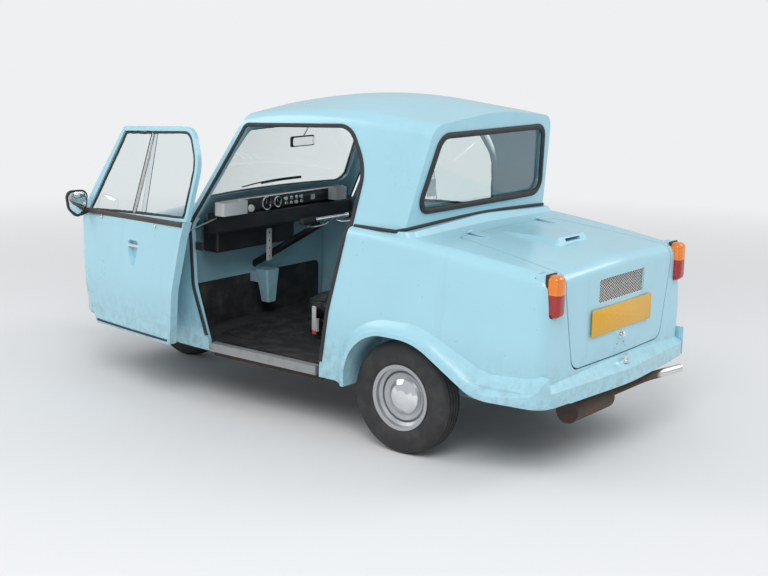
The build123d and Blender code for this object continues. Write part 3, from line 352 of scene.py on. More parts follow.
@dataclass(frozen=True)
class Rusty:
    """Black chassis paint that rust and mud show through."""

    name: str
    paint: Colour = (0.022, 0.020, 0.019)
    rust_colour: Colour = (0.115, 0.050, 0.022)
    rust: float = 0.75
    mud_colour: Colour = (0.060, 0.045, 0.034)
    mud: float = 0.7

    def make(self) -> bpy.types.Material:
        """Build the material.

        Returns:
            The material.
        """
        recipe = Recipe(self.name, self.paint, 0.6)
        patch = recipe.noise(11.0, detail=9.0, rough=0.7, twist=0.3)
        recipe.tint(recipe.span(patch, 0.42, 0.62, 0.0, self.rust), self.rust_colour)
        recipe.tint(recipe.span(recipe.noise(42.0, 6.0, 0.7), 0.52, 0.75, 0.0, self.mud), self.mud_colour)
        recipe.uneven(patch, low=0.55, high=0.92)
        recipe.bump(recipe.noise(90.0, detail=6.0, rough=0.7), strength=0.4, distance=0.0018)
        return recipe.material


@dataclass(frozen=True)
class SootedShadedPipe:
    """Rusty, sooty silencer steel darkened as painted shade, turning bright at the tailpipe's mouth."""

    name: str
    # Soot colour, also darkened as painted shade for the silencer's shadow.
    soot_and_shade: Colour = (0.060, 0.050, 0.044)
    rust_colour: Colour = (0.140, 0.062, 0.028)
    bright_colour: Colour = (0.72, 0.72, 0.71)
    bright_from_x: float = -0.722
    bright_over: float = 0.008

    def make(self) -> bpy.types.Material:
        """Build the material.

        Returns:
            The material.
        """
        recipe = Recipe(self.name, self.soot_and_shade, 0.62)
        patch = recipe.noise(13.0, detail=8.0, rough=0.7, twist=0.3)
        recipe.tint(recipe.span(patch, low=0.42, high=0.64, start=0.0, end=0.8), self.rust_colour)
        mouth = recipe.span(recipe.axis(0), self.bright_from_x, self.bright_from_x - self.bright_over)
        recipe.tint(mouth, self.bright_colour)
        recipe.links.new(mouth, recipe.shader.inputs["Metallic"])
        recipe.links.new(recipe.span(mouth, 0.0, 1.0, 0.70, 0.20), recipe.shader.inputs["Roughness"])
        recipe.bump(recipe.noise(95.0, detail=6.0, rough=0.7), strength=0.3, distance=0.0014)
        return recipe.material


@dataclass(frozen=True)
class Moulded:
    """Grained or glossy moulded plastic."""

    name: str
    colour: Colour
    rough: Flat = (0.38, 0.55)
    grain: float = 0.15
    dust: float = 0.2

    def make(self) -> bpy.types.Material:
        """Build the material.

        Returns:
            The material.
        """
        recipe = Recipe(self.name, self.colour, self.rough[0])
        patch = recipe.noise(7.0, detail=5.0, rough=0.6)
        dusty = tuple(part * 0.5 + 0.10 for part in self.colour)
        recipe.tint(recipe.span(patch, 0.45, 0.80, 0.0, self.dust), dusty)
        recipe.uneven(patch, *self.rough)
        recipe.bump(recipe.noise(420.0, detail=3.0, rough=0.6), self.grain, distance=0.0006)
        return recipe.material


@dataclass(frozen=True)
class Vinyl:
    """Padded seat vinyl: a leather grain of small cells, glossed where it is sat on."""

    name: str
    colour: Colour = (0.016, 0.016, 0.017)
    worn_colour: Colour = (0.055, 0.053, 0.050)
    cells_per_metre: float = 330.0

    def make(self) -> bpy.types.Material:
        """Build the material.

        Returns:
            The material.
        """
        recipe = Recipe(self.name, self.colour, 0.42)
        cells = recipe.nodes.new("ShaderNodeTexVoronoi")
        cells.feature = "DISTANCE_TO_EDGE"
        cells.inputs["Scale"].default_value = self.cells_per_metre
        recipe.links.new(recipe.coords(), cells.inputs["Vector"])
        recipe.bump(recipe.span(cells.outputs["Distance"], 0.0, 0.25), 0.35, 0.0008)
        polish = recipe.noise(6.0, detail=4.0, rough=0.6)
        recipe.tint(recipe.span(polish, low=0.5, high=0.8, start=0.0, end=0.35), self.worn_colour)
        recipe.uneven(polish, low=0.34, high=0.55)
        return recipe.material


@dataclass(frozen=True)
class Clear:
    """Window glass or clear plastic."""

    name: str
    colour: Colour = (0.86, 0.92, 0.92)
    rough: float = 0.01
    haze: float = 0.03
    refraction: float = 1.45

    def make(self) -> bpy.types.Material:
        """Build the material.

        Returns:
            The material.
        """
        recipe = Recipe(self.name, self.colour, self.rough)
        recipe.set("Transmission Weight", 1.0)
        recipe.set("IOR", self.refraction)
        smear = recipe.span(recipe.noise(5.0, 6.0, 0.7), 0.45, 0.8, self.rough, self.rough + self.haze)
        recipe.links.new(smear, recipe.shader.inputs["Roughness"])
        return recipe.material


@dataclass(frozen=True)
class Lens:
    """Coloured lamp lens with fine moulded flutes, with painted shade along the flutes and a faint painted
    glow.
    """

    name: str
    colour: Colour
    flute_scale: float = 170.0 / 6.0
    glow: float = 0.10

    def make(self) -> bpy.types.Material:
        """Build the material.

        Returns:
            The material.
        """
        recipe = Recipe(self.name, self.colour, 0.12)
        recipe.set("Transmission Weight", 0.25)
        recipe.set("Coat Weight", 0.6)
        # Painted light: the lens glows faintly by itself, though no lamp is lit in it.
        recipe.set("Emission Color", (*self.colour, 1.0))
        recipe.set("Emission Strength", self.glow)
        wave = recipe.nodes.new("ShaderNodeTexWave")
        wave.bands_direction = "Y"
        wave.inputs["Scale"].default_value = self.flute_scale
        recipe.links.new(recipe.coords(), wave.inputs["Vector"])
        # Painted shade: darker bands along the flutes.
        shade = tuple(part * 0.45 for part in self.colour)
        recipe.tint(recipe.span(wave.outputs["Fac"], low=0.0, high=1.0, start=0.0, end=0.35), shade)
        recipe.bump(wave.outputs["Fac"], strength=0.3, distance=0.0012)
        return recipe.material


class Coat:
    """A built finish with the record's slot that it belongs to."""

    def __init__(self, slot: Slot, finish: Gelcoat | Rubber | Metal | Rusty | SootedShadedPipe | Moulded | Vinyl
                 | Clear | Lens) -> None:
        """Build the finish's material for pieces of a slot.

        Args:
            slot: The record's slot.
            finish: What the material is built from.
        """
        self.slot = slot
        self.material = finish.make()


class Finishes:
    """Every finish of the carriage, built once."""

    def __init__(self) -> None:
        """Build the materials."""
        self.gelcoat = Coat(Slot.BODY, Gelcoat("ice_blue_gelcoat", ICE_BLUE))
        # Darker copy of the body paint for the cabin's inside: painted shade, with more road dirt.
        self.gelcoat_shaded_inside = Coat(Slot.BODY, Gelcoat("shaded_inner_gelcoat", (0.300, 0.520, 0.600), 0.8))
        self.seal = Coat(Slot.RUBBER, Rubber("weather_seal_rubber"))
        self.tyre = Coat(Slot.TYRE, Rubber("tyre_tread_rubber", (0.020, 0.020, 0.021), 0.32, 150.0))
        self.mat = Coat(Slot.RUBBER, Rubber("floor_mat_rubber", (0.020, 0.020, 0.021), 0.55, 120.0))
        self.chrome = Coat(Slot.CHROME, Metal("bright_chrome", (0.80, 0.81, 0.82), (0.05, 0.16), wear=0.18))
        self.satin = Coat(Slot.STEEL, Metal("satin_steel", (0.58, 0.58, 0.57), (0.28, 0.45)))
        self.bright_mesh = Coat(Slot.STEEL, Metal(
            "bright_vent_mesh", (0.78, 0.78, 0.76), (0.30, 0.45), 0.6, wear=0.2))
        self.silver = Coat(Slot.RIM, Metal(
            "silver_wheel_paint", (0.47, 0.48, 0.49), (0.30, 0.48), 0.75, (0.10, 0.07, 0.05)))
        self.alloy = Coat(Slot.ALLOY, Metal(
            "worn_tread_alloy", (0.33, 0.34, 0.34), (0.32, 0.60), 0.6, (0.10, 0.09, 0.075), 0.6))
        self.exhaust = Coat(Slot.EXHAUST, SootedShadedPipe("sooted_shaded_exhaust"))
        self.pipe = Coat(Slot.STEEL, Metal("polished_tailpipe", (0.66, 0.66, 0.65), (0.14, 0.34), wear=0.3))
        self.rust = Coat(Slot.RUST, Rusty("rusty_chassis"))
        self.block = Coat(Slot.ENGINE, Metal(
            "oily_casting", (0.10, 0.10, 0.10), (0.45, 0.7), 0.5, (0.03, 0.025, 0.02), 0.7))
        self.black = Coat(Slot.BLACK, Moulded("black_dash_moulding", (0.014, 0.014, 0.015)))
        self.grey = Coat(Slot.PLASTIC, Moulded("pale_tray_moulding", (0.52, 0.54, 0.54), (0.35, 0.5)))
        self.white = Coat(Slot.PLASTIC, Moulded("pale_plastic", (0.60, 0.62, 0.60), (0.35, 0.5), 0.05))
        self.brown = Coat(Slot.PLASTIC, Moulded(
            "faded_waist_moulding", (0.050, 0.036, 0.028), (0.45, 0.65), 0.1, 0.4))
        self.orange = Coat(Slot.PLASTIC, Moulded("release_button", (0.70, 0.10, 0.02), (0.3, 0.4), 0.02, 0.0))
        self.yellow = Coat(Slot.LENS, Moulded(
            "blank_yellow_plate", (0.72, 0.38, 0.012), (0.22, 0.36), 0.02, 0.06))
        self.blank = Coat(Slot.PLASTIC, Moulded(
            "blank_pale_plate", (0.70, 0.71, 0.70), (0.16, 0.30), 0.02, 0.2))
        self.paint_black = Coat(Slot.BLACK, Moulded(
            "black_enamel", (0.010, 0.010, 0.011), (0.18, 0.32), 0.02))
        self.vinyl = Coat(Slot.VINYL, Vinyl("black_seat_vinyl"))
        self.glass = Coat(Slot.GLASS, Clear("window_glass"))
        self.lamp_glass = Coat(Slot.CLEAR, Clear("fluted_lamp_glass", (0.92, 0.94, 0.94), 0.06, 0.06))
        self.amber = Coat(Slot.LENS, Lens("amber_lens", (0.95, 0.25, 0.015)))
        self.red = Coat(Slot.LENS, Lens("red_lens", (0.42, 0.009, 0.011)))
        self.mirror = Coat(Slot.CHROME, Metal("mirror_glass", (0.86, 0.88, 0.88), (0.01, 0.04), wear=0.02))


# Modelling helpers
def finish_mesh(shape: bmesh.types.BMesh, name: str, coat: Coat, body: str = CARRIAGE,
                crease: float = 38.0, move: Matrix | None = None) -> bpy.types.Object:
    """Turn a bmesh into a finished piece.

    Args:
        shape: The bmesh, freed here.
        name: The piece's name.
        coat: Its finish and slot.
        body: The CAD body that it rides on.
        crease: Angle in degrees past which an edge stays sharp.
        move: Placement of the whole piece.

    Returns:
        The object, at the origin and unturned.
    """
    if move is not None:
        bmesh.ops.transform(shape, matrix=move, verts=shape.verts)
        if move.determinant() < 0.0:
            bmesh.ops.reverse_faces(shape, faces=shape.faces)
    mesh = bpy.data.meshes.new(name)
    shape.to_mesh(mesh)
    shape.free()
    for polygon in mesh.polygons:
        polygon.use_smooth = True
    mesh.set_sharp_from_angle(angle=radians(crease))
    mesh.materials.append(coat.material)
    piece = bpy.data.objects.new(name, mesh)
    bpy.context.scene.collection.objects.link(piece)
    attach(piece, body)
    LOG.info("%s rides on %s", name, body)
    return piece


def dress(coat: Coat, *nodes: str) -> None:
    """Give CAD nodes a finish.

    Args:
        coat: The finish.
        nodes: The nodes' names.
    """
    for node in nodes:
        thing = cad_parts[node]
        thing.data.materials.clear()
        thing.data.materials.append(coat.material)


def rounded_outline(corners: Sequence[Corner], arc_steps: int, spacing: float = 0.0) -> list[Flat]:
    """Closed outline through corners that are each rounded by a tangent arc.

    Args:
        corners: (u, v, radius) of each corner.
        arc_steps: Segments per arc.
        spacing: Longest straight segment, or 0 to leave straights whole.

    Returns:
        The outline's points.
    """
    points: list[Vector] = []
    count = len(corners)
    for index, (u, v, radius) in enumerate(corners):
        here = Vector((u, v))
        back = (Vector(corners[index - 1][:2]) - here).normalized()
        onward = (Vector(corners[(index + 1) % count][:2]) - here).normalized()
        if radius == 0.0:
            points.append(here)
            continue
        half = acos(max(-1.0, min(1.0, back.dot(onward)))) / 2.0
        centre = here + (back + onward).normalized() * (radius / sin(half))
        start = here + back * (radius / tan(half)) - centre
        sweep = pi - 2.0 * half
        sense = 1.0 if back.x * onward.y - back.y * onward.x < 0.0 else -1.0
        for step in range(arc_steps + 1):
            angle = sense * sweep * step / arc_steps
            points.append(centre + Vector((start.x * cos(angle) - start.y * sin(angle),
                                           start.x * sin(angle) + start.y * cos(angle))))
    if spacing > 0.0:
        dense: list[Vector] = []
        for index, point in enumerate(points):
            following = points[(index + 1) % len(points)]
            pieces = max(1, int((following - point).length / spacing))
            dense.extend(point.lerp(following, step / pieces) for step in range(pieces))
        points = dense
    return [(point.x, point.y) for point in points]


def rounded_rectangle(low: Flat, high: Flat, radius: float, arc_steps: int = 4) -> list[Flat]:
    """Closed rectangle between its low and its high corner, with equal rounded corners."""
    corners = (low, (high[0], low[1]), high, (low[0], high[1]))
    return rounded_outline([(u, v, radius) for u, v in corners], arc_steps)


def grown(outline: Sequence[Flat], amount: float) -> list[Flat]:
    """Closed outline moved outwards by an amount, whichever way it runs.

    Args:
        outline: (u, v) points.
        amount: How far it moves.

    Returns:
        The moved outline.
    """
    count = len(outline)
    area = sum(outline[i][0] * outline[(i + 1) % count][1] - outline[(i + 1) % count][0] * outline[i][1]
               for i in range(count))
    sense = 1.0 if area > 0.0 else -1.0
    moved = []
    for index, (u, v) in enumerate(outline):
        before, after = outline[index - 1], outline[(index + 1) % count]
        along = Vector((after[0] - before[0], after[1] - before[1])).normalized()
        moved.append((u + sense * along.y * amount, v - sense * along.x * amount))
    return moved


def ring_tube(shape: bmesh.types.BMesh, rings: Sequence[Sequence[Vector]], closed: bool) -> None:
    """Join a row of equal rings into a tube, capped at both ends unless it closes on itself.

    Args:
        shape: The bmesh to add to.
        rings: The section's place at each step.
        closed: Join the last ring to the first.
    """
    loops = []
    for ring in rings:
        verts = [shape.verts.new(point) for point in ring]
        loops.append([shape.edges.new((verts[i - 1], verts[i])) for i in range(len(verts))])
    following = loops[1:] + loops[:1] if closed else loops[1:]
    for one, other in zip(loops, following):
        bmesh.ops.bridge_loops(shape, edges=one + other)
    if not closed:
        bmesh.ops.contextual_create(shape, geom=loops[0])
        bmesh.ops.contextual_create(shape, geom=loops[-1])
    bmesh.ops.recalc_face_normals(shape, faces=shape.faces)


def smooth_path(points: Sequence[Vector], per_span: int, closed: bool) -> list[Vector]:
    """Points along a smooth curve through the given ones.

    Args:
        points: The points to pass through.
        per_span: Steps between neighbours.
        closed: Join the last to the first.

    Returns:
        The finer row of points.
    """
    count = len(points)
    spans = count if closed else count - 1
    path: list[Vector] = []
    for span in range(spans):
        if closed:
            a, b, c, d = (points[(span + k) % count] for k in (-1, 0, 1, 2))
        else:
            a, b, c, d = (points[max(0, min(count - 1, span + k))] for k in (-1, 0, 1, 2))
        for step in range(per_span):
            t = step / per_span
            path.append(0.5 * (2.0 * b + (c - a) * t + (2.0 * a - 5.0 * b + 4.0 * c - d) * t * t
                               + (3.0 * b - a - 3.0 * c + d) * t ** 3))
    if not closed:
        path.append(points[-1].copy())
    return path


def section_rings(path: Sequence[Vector], normals: Sequence[Vector], section: Sequence[Flat],
                  closed: bool) -> list[list[Vector]]:
    """Place a flat section square to a path.

    Args:
        path: The path's points.
        normals: The surface's outward direction at each point.
        section: (across, out) points of the section.
        closed: The path joins up.

    Returns:
        One ring for each point.
    """
    count = len(path)
    rings = []
    for index, point in enumerate(path):
        before = path[index - 1] if closed or index else path[0]
        after = path[(index + 1) % count] if closed or index < count - 1 else path[-1]
        along = (after - before).normalized()
        out = (normals[index] - along * normals[index].dot(along)).normalized()
        across = along.cross(out)
        rings.append([point + across * u + out * v for u, v in section])
    return rings


def round_section(radius: float, sides: int) -> list[Flat]:
    """Section of a round bar about its own centre."""
    angles = [2.0 * pi * k / sides for k in range(sides)]
    return [(radius * cos(angle), radius * sin(angle)) for angle in angles]


def strip_section(width: float, height: float, sunk: float) -> list[Flat]:
    """Section of a domed strip that sits on a surface and reaches a little into it.

    Args:
        width: Width across the strip.
        height: How far it stands up.
        sunk: How far it reaches into the surface.

    Returns:
        (across, out) points.
    """
    half = width / 2.0
    right = [(half * 0.3, height), (half * 0.72, height * 0.85), (half, height * 0.45), (half, -sunk)]
    return [(-across, out) for across, out in reversed(right)] + right


def tube(name: str, points: Sequence[Corner], radius: float, coat: Coat, body: str = CARRIAGE,
         smooth: int = 6, sides: int = 12, closed: bool = False) -> bpy.types.Object:
    """Round bar or hose along a smooth path.

    Args:
        name: The piece's name.
        points: Points that the path passes through.
        radius: The bar's radius.
        coat: Its finish and slot.
        body: The CAD body that it rides on.
        smooth: Steps between points, or 1 for straight runs.
        sides: Sides of its section.
        closed: The path joins up.

    Returns:
        The piece.
    """
    path = [Vector(point) for point in points]
    if smooth > 1:
        path = smooth_path(path, smooth, closed)
    normals = []
    last = None
    for index, point in enumerate(path):
        after = path[(index + 1) % len(path)] if closed or index < len(path) - 1 else point
        before = path[index - 1] if closed or index else point
        along = (after - before).normalized()
        if last is None:
            last = along.orthogonal().normalized()
        last = (last - along * last.dot(along)).normalized()
        normals.append(last.copy())
    shape = bmesh.new()
    ring_tube(shape, section_rings(path, normals, round_section(radius, sides), closed), closed)
    return finish_mesh(shape, name, coat, body, crease=50.0)


def round_edges(shape: bmesh.types.BMesh, edges: Sequence[bmesh.types.BMEdge], radius: float,
                steps: int) -> None:
    """Round some edges of a bmesh.

    Args:
        shape: The bmesh.
        edges: Those of its edges to round.
        radius: Radius of the rounding.
        steps: Its segments.
    """
    bmesh.ops.bevel(shape, geom=edges, offset=radius, offset_type="OFFSET", segments=steps, profile=0.5,
                    affect="EDGES", clamp_overlap=True, material=-1)


def solid_block(size: Corner, centre: Corner, edge: float, steps: int = 3) -> bmesh.types.BMesh:
    """Box with rounded edges.

    Args:
        size: Lengths along X, Y and Z.
        centre: Its middle.
        edge: Radius of its edges.
        steps: Segments of each rounding.

    Returns:
        The bmesh.
    """
    shape = bmesh.new()
    bmesh.ops.create_cube(shape, size=1.0)
    bmesh.ops.scale(shape, vec=size, verts=shape.verts)
    if edge > 0.0:
        round_edges(shape, shape.edges[:], edge, steps)
    bmesh.ops.transform(shape, matrix=Matrix.Translation(centre), verts=shape.verts)
    return shape


def slab(outline: Sequence[Flat], thickness: float, matrix: Matrix, edge: float = 0.0) -> bmesh.types.BMesh:
    """Plate cut to an outline, standing up from its own plane.

    Args:
        outline: Points in the plate's own X and Y.
        thickness: Height along its own Z.
        matrix: Placement.
        edge: Radius of its outer face's edges.

    Returns:
        The bmesh.
    """
    shape = bmesh.new()
    face = shape.faces.new([shape.verts.new((u, v, 0.0)) for u, v in outline])
    made = bmesh.ops.extrude_face_region(shape, geom=[face])["geom"]
    raised = [part for part in made if isinstance(part, bmesh.types.BMVert)]
    bmesh.ops.translate(shape, vec=(0.0, 0.0, thickness), verts=raised)
    bmesh.ops.recalc_face_normals(shape, faces=shape.faces)
    if edge > 0.0:
        heights = [(part, part.verts[0].co.z, part.verts[1].co.z) for part in shape.edges]
        round_edges(shape, [part for part, z0, z1 in heights if abs(z0 - z1) < TINY and z0 > 0.0], edge, 2)
    bmesh.ops.transform(shape, matrix=matrix, verts=shape.verts)
    if matrix.determinant() < 0.0:
        bmesh.ops.reverse_faces(shape, faces=shape.faces)
    return shape


def turned(profile: Sequence[Flat], centre: Vector, axis: Vector, steps: int) -> bmesh.types.BMesh:
    """Body of revolution.

    Args:
        profile: (radius, along) points from one end to the other.
        centre: Point on the axis where along is 0.
        axis: The axis' direction.
        steps: Segments round the turn.

    Returns:
        The bmesh, open where the profile doesn't reach the axis or close on itself.
    """
    axis = axis.normalized()
    side = axis.orthogonal().normalized()
    shape = bmesh.new()
    verts = [shape.verts.new(centre + side * radius + axis * along) for radius, along in profile]
    edges = [shape.edges.new(pair) for pair in zip(verts, verts[1:])]
    bmesh.ops.spin(shape, geom=verts + edges, cent=centre, axis=axis, dvec=(0.0, 0.0, 0.0), angle=2.0 * pi,
                   steps=steps, use_merge=True, use_duplicate=False)
    bmesh.ops.remove_doubles(shape, verts=shape.verts, dist=TINY)
    bmesh.ops.recalc_face_normals(shape, faces=shape.faces)
    return shape


def facing(origin: Corner, across: Vector = RIGHT, out: Vector = BACK) -> Matrix:
    """Placement of a plate that faces backwards, unless told otherwise.

    Args:
        origin: Where the plate's own origin goes.
        across: Direction of its own X.
        out: Direction of its own Z.

    Returns:
        The matrix.
    """
    z = out.normalized()
    x = (across - z * across.dot(z)).normalized()
    y = z.cross(x)
    matrix = Matrix((x, y, z)).transposed().to_4x4()
    matrix.translation = origin
    return matrix


class Skin:
    """Outside of some CAD nodes, for seating pieces on."""

    def __init__(self, *nodes: str, move: Matrix | None = None,
                 piece: bpy.types.Object | None = None) -> None:
        """Gather the faces of some nodes, or of a finished piece, moved first if asked.

        Args:
            nodes: CAD nodes.
            move: Placement of all of it.
            piece: A finished piece.
        """
        points: list[Vector] = []
        faces: list[tuple[int, ...]] = []
        meshes = [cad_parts[node].data for node in nodes]
        if piece is not None:
            meshes.append(piece.data)
        for mesh in meshes:
            base = len(points)
            points.extend((move @ v.co) if move is not None else v.co.copy() for v in mesh.vertices)
            faces.extend(tuple(base + i for i in polygon.vertices) for polygon in mesh.polygons)
        self.tree = BVHTree.FromPolygons(points, faces)

    def hit(self, origin: Corner, direction: Vector) -> tuple[Vector, Vector] | None:
        """First point that a ray meets, with the surface's direction towards the ray's start.

        Args:
            origin: Where the ray starts.
            direction: Which way it goes.

        Returns:
            The point and that direction, or None where nothing is met.
        """
        way = direction.normalized()
        point, normal, _, _ = self.tree.ray_cast(Vector(origin), way)
        if point is None:
            return None
        return point, (normal if normal.dot(way) < 0.0 else -normal)

    def trace(self, starts: Iterable[Corner], direction: Vector) -> tuple[list[Vector], list[Vector]]:
        """Send out a row of rays, and keep the points and the surface's directions that they meet.

        Args:
            starts: Where the rays start.
            direction: Which way they go.

        Returns:
            The points, and the directions.
        """
        found = [self.hit(start, direction) for start in starts]
        met = [pair for pair in found if pair is not None]
        return [point for point, _ in met], [normal for _, normal in met]


def strip(name: str, path: Sequence[Vector], normals: Sequence[Vector], size: Flat, coat: Coat,
          closed: bool = False, move: Matrix | None = None, sunk: float = 0.002) -> bpy.types.Object:
    """Domed strip laid along a surface of the carriage.

    Args:
        name: The piece's name.
        path: Points on the surface.
        normals: The surface's outward direction at each point.
        size: Width across the strip, and how far it stands up.
        coat: Its finish and slot.
        closed: The path joins up.
        move: Placement of the whole piece.
        sunk: How far it reaches into the surface.

    Returns:
        The piece.
    """
    shape = bmesh.new()
    ring_tube(shape, section_rings(path, normals, strip_section(*size, sunk), closed), closed)
    return finish_mesh(shape, name, coat, crease=60.0, move=move)


def join_blocks(blocks: Sequence[bmesh.types.BMesh]) -> bmesh.types.BMesh:
    """Gather several bmeshes in the first one and free the rest.

    Args:
        blocks: The bmeshes.

    Returns:
        The first of them, with everything in it.
    """
    whole = blocks[0]
    for block in blocks[1:]:
        carrier = bpy.data.meshes.new("carrier")
        block.to_mesh(carrier)
        block.free()
        whole.from_mesh(carrier)
        bpy.data.meshes.remove(carrier)
    return whole


def cut_at(shape: bmesh.types.BMesh, height: float, keep_above: bool) -> None:
    """Keep what lies on one side of a level plane, and close the cut.

    Args:
        shape: The bmesh to cut.
        height: The plane's Z.
        keep_above: Keep the upper part rather than the lower one.
    """
    geometry = shape.verts[:] + shape.edges[:] + shape.faces[:]
    bmesh.ops.bisect_plane(shape, geom=geometry, dist=TINY, plane_co=(0.0, 0.0, height), plane_no=UP,
                           clear_inner=keep_above, clear_outer=not keep_above)
    rim = [edge for edge in shape.edges if edge.is_boundary]
    bmesh.ops.contextual_create(shape, geom=rim)
    bmesh.ops.recalc_face_normals(shape, faces=shape.faces)


def open_tray(size: Corner, centre: Corner, wall: float, depth: float, edge: float) -> bmesh.types.BMesh:
    """Moulded tray with an open top.

    Args:
        size: Lengths along X, Y and Z.
        centre: Its middle.
        wall: Thickness of its walls.
        depth: How deep its hollow goes.
        edge: Radius of its upright corners.

    Returns:
        The bmesh.
    """
    shape = bmesh.new()
    bmesh.ops.create_cube(shape, size=1.0)
    bmesh.ops.scale(shape, vec=size, verts=shape.verts)
    upright = [e for e in shape.edges if abs(e.verts[0].co.z - e.verts[1].co.z) > size[2] * 0.5]
    round_edges(shape, upright, edge, steps=4)
    top = max(shape.faces, key=lambda face: face.calc_center_median().z)
    bmesh.ops.inset_region(shape, faces=[top], thickness=wall, use_even_offset=True)
    made = bmesh.ops.extrude_face_region(shape, geom=[top])["geom"]
    floor = [part for part in made if isinstance(part, bmesh.types.BMVert)]
    bmesh.ops.translate(shape, vec=(0.0, 0.0, -depth), verts=floor)
    if top.is_valid:
        bmesh.ops.delete(shape, geom=[top], context="FACES_ONLY")
    bmesh.ops.recalc_face_normals(shape, faces=shape.faces)
    bmesh.ops.transform(shape, matrix=Matrix.Translation(centre), verts=shape.verts)
    return shape


def apply_stack(piece: bpy.types.Object) -> None:
    """Put the result of a piece's modifiers in its mesh.

    Args:
        piece: The piece, left without modifiers.
    """
    graph = bpy.context.evaluated_depsgraph_get()
    result = bpy.data.meshes.new_from_object(piece.evaluated_get(graph))
    piece.modifiers.clear()
    piece.data = result


@dataclass
class Pad:
    """Stuffed seat pad, blown up from a slightly smaller block and then sewn.

    Axes are 0 for X, 1 for Y and 2 for Z of the pad's own frame, and the padded face looks along
    the seat axis.
    """

    name: str
    node: str
    size: Corner
    centre: Corner
    place: Matrix
    seat_axis: int
    seam_axis: int
    seams: tuple[float, ...]
    rest_low: float
    corner_share: float = 0.27
    swell: float = 0.022
    voxel: float = 0.006
    frames: int = 20
    pressure: float = 4.0
    seam_depth: float = 0.007
    seam_width: float = 0.008
    seam_falloff: float = 2.718
    piping_radius: float = 0.0042
    piping_level: float = 0.36
    piping_steps: int = 96

    def build(self, coat: Coat) -> bpy.types.Object:
        """Make the pad.

        Args:
            coat: Its cover.

        Returns:
            The piece, which replaces its node.
        """
        shape = solid_block(self.size, self.centre, min(self.size) * self.corner_share, steps=4)
        piece = finish_mesh(shape, self.name, coat, crease=180.0)
        remesh = piece.modifiers.new("even_skin", "REMESH")
        remesh.mode = "VOXEL"
        remesh.voxel_size = self.voxel
        apply_stack(piece)
        self.inflate(piece)
        self.sew(piece)
        piece.data.transform(self.place)
        for polygon in piece.data.polygons:
            polygon.use_smooth = True
        if not piece.data.materials:
            piece.data.materials.append(coat.material)
        self.pipe(piece, coat)
        smooth = piece.modifiers.new("soft_surface", "SUBSURF")
        smooth.levels = 1
        smooth.render_levels = 1
        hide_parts(self.node)
        return piece

    def inflate(self, piece: bpy.types.Object) -> None:
        """Let air pressure crown the pad, with each point's travel capped and its resting face flat.

        Args:
            piece: The pad.
        """
        start = [vertex.co.copy() for vertex in piece.data.vertices]
        cloth = piece.modifiers.new("stuffing", "CLOTH")
        cloth.settings.use_pressure = True
        cloth.settings.uniform_pressure_force = self.pressure
        cloth.settings.effector_weights.gravity = 0.0
        cloth.settings.quality = 5
        scene = bpy.context.scene
        for step in range(1, self.frames + 1):
            scene.frame_set(step)
        apply_stack(piece)
        scene.frame_set(1)
        for vertex, origin in zip(piece.data.vertices, start):
            travel = vertex.co - origin
            if travel.length > self.swell:
                vertex.co = origin + travel.normalized() * self.swell
            if vertex.co[self.seat_axis] < self.rest_low:
                vertex.co[self.seat_axis] = self.rest_low

    def sew(self, piece: bpy.types.Object) -> None:
        """Press the sewn channels into the padded face.

        Args:
            piece: The pad.
        """
        middle = self.centre[self.seat_axis]
        for vertex in piece.data.vertices:
            if vertex.co[self.seat_axis] <= middle:
                continue
            offset = min(abs(vertex.co[self.seam_axis] - seam) for seam in self.seams)
            press = self.seam_depth * self.seam_falloff ** (-(offset / self.seam_width) ** 2)
            vertex.co[self.seat_axis] -= press

    def pipe(self, piece: bpy.types.Object, coat: Coat) -> None:
        """Lay the piped seam round the padded face's edge.

        Args:
            piece: The pad.
            coat: The piping's finish and slot.
        """
        skin = Skin(piece=piece)
        heart = Vector(self.centre)
        heart[self.seat_axis] = self.centre[self.seat_axis] + self.size[self.seat_axis] * self.piping_level
        flat_axes = [axis for axis in range(3) if axis != self.seat_axis]
        path = []
        for step in range(self.piping_steps):
            angle = 2.0 * pi * step / self.piping_steps
            way = Vector((0.0, 0.0, 0.0))
            way[flat_axes[0]] = cos(angle)
            way[flat_axes[1]] = sin(angle)
            begin = self.place @ (heart + way * 0.6)
            found = skin.hit(begin, self.place @ heart - begin)
            if found is not None:
                path.append(found[0])
        tube(f"{self.name}_piping", path, self.piping_radius, coat, smooth=1, sides=8, closed=True)


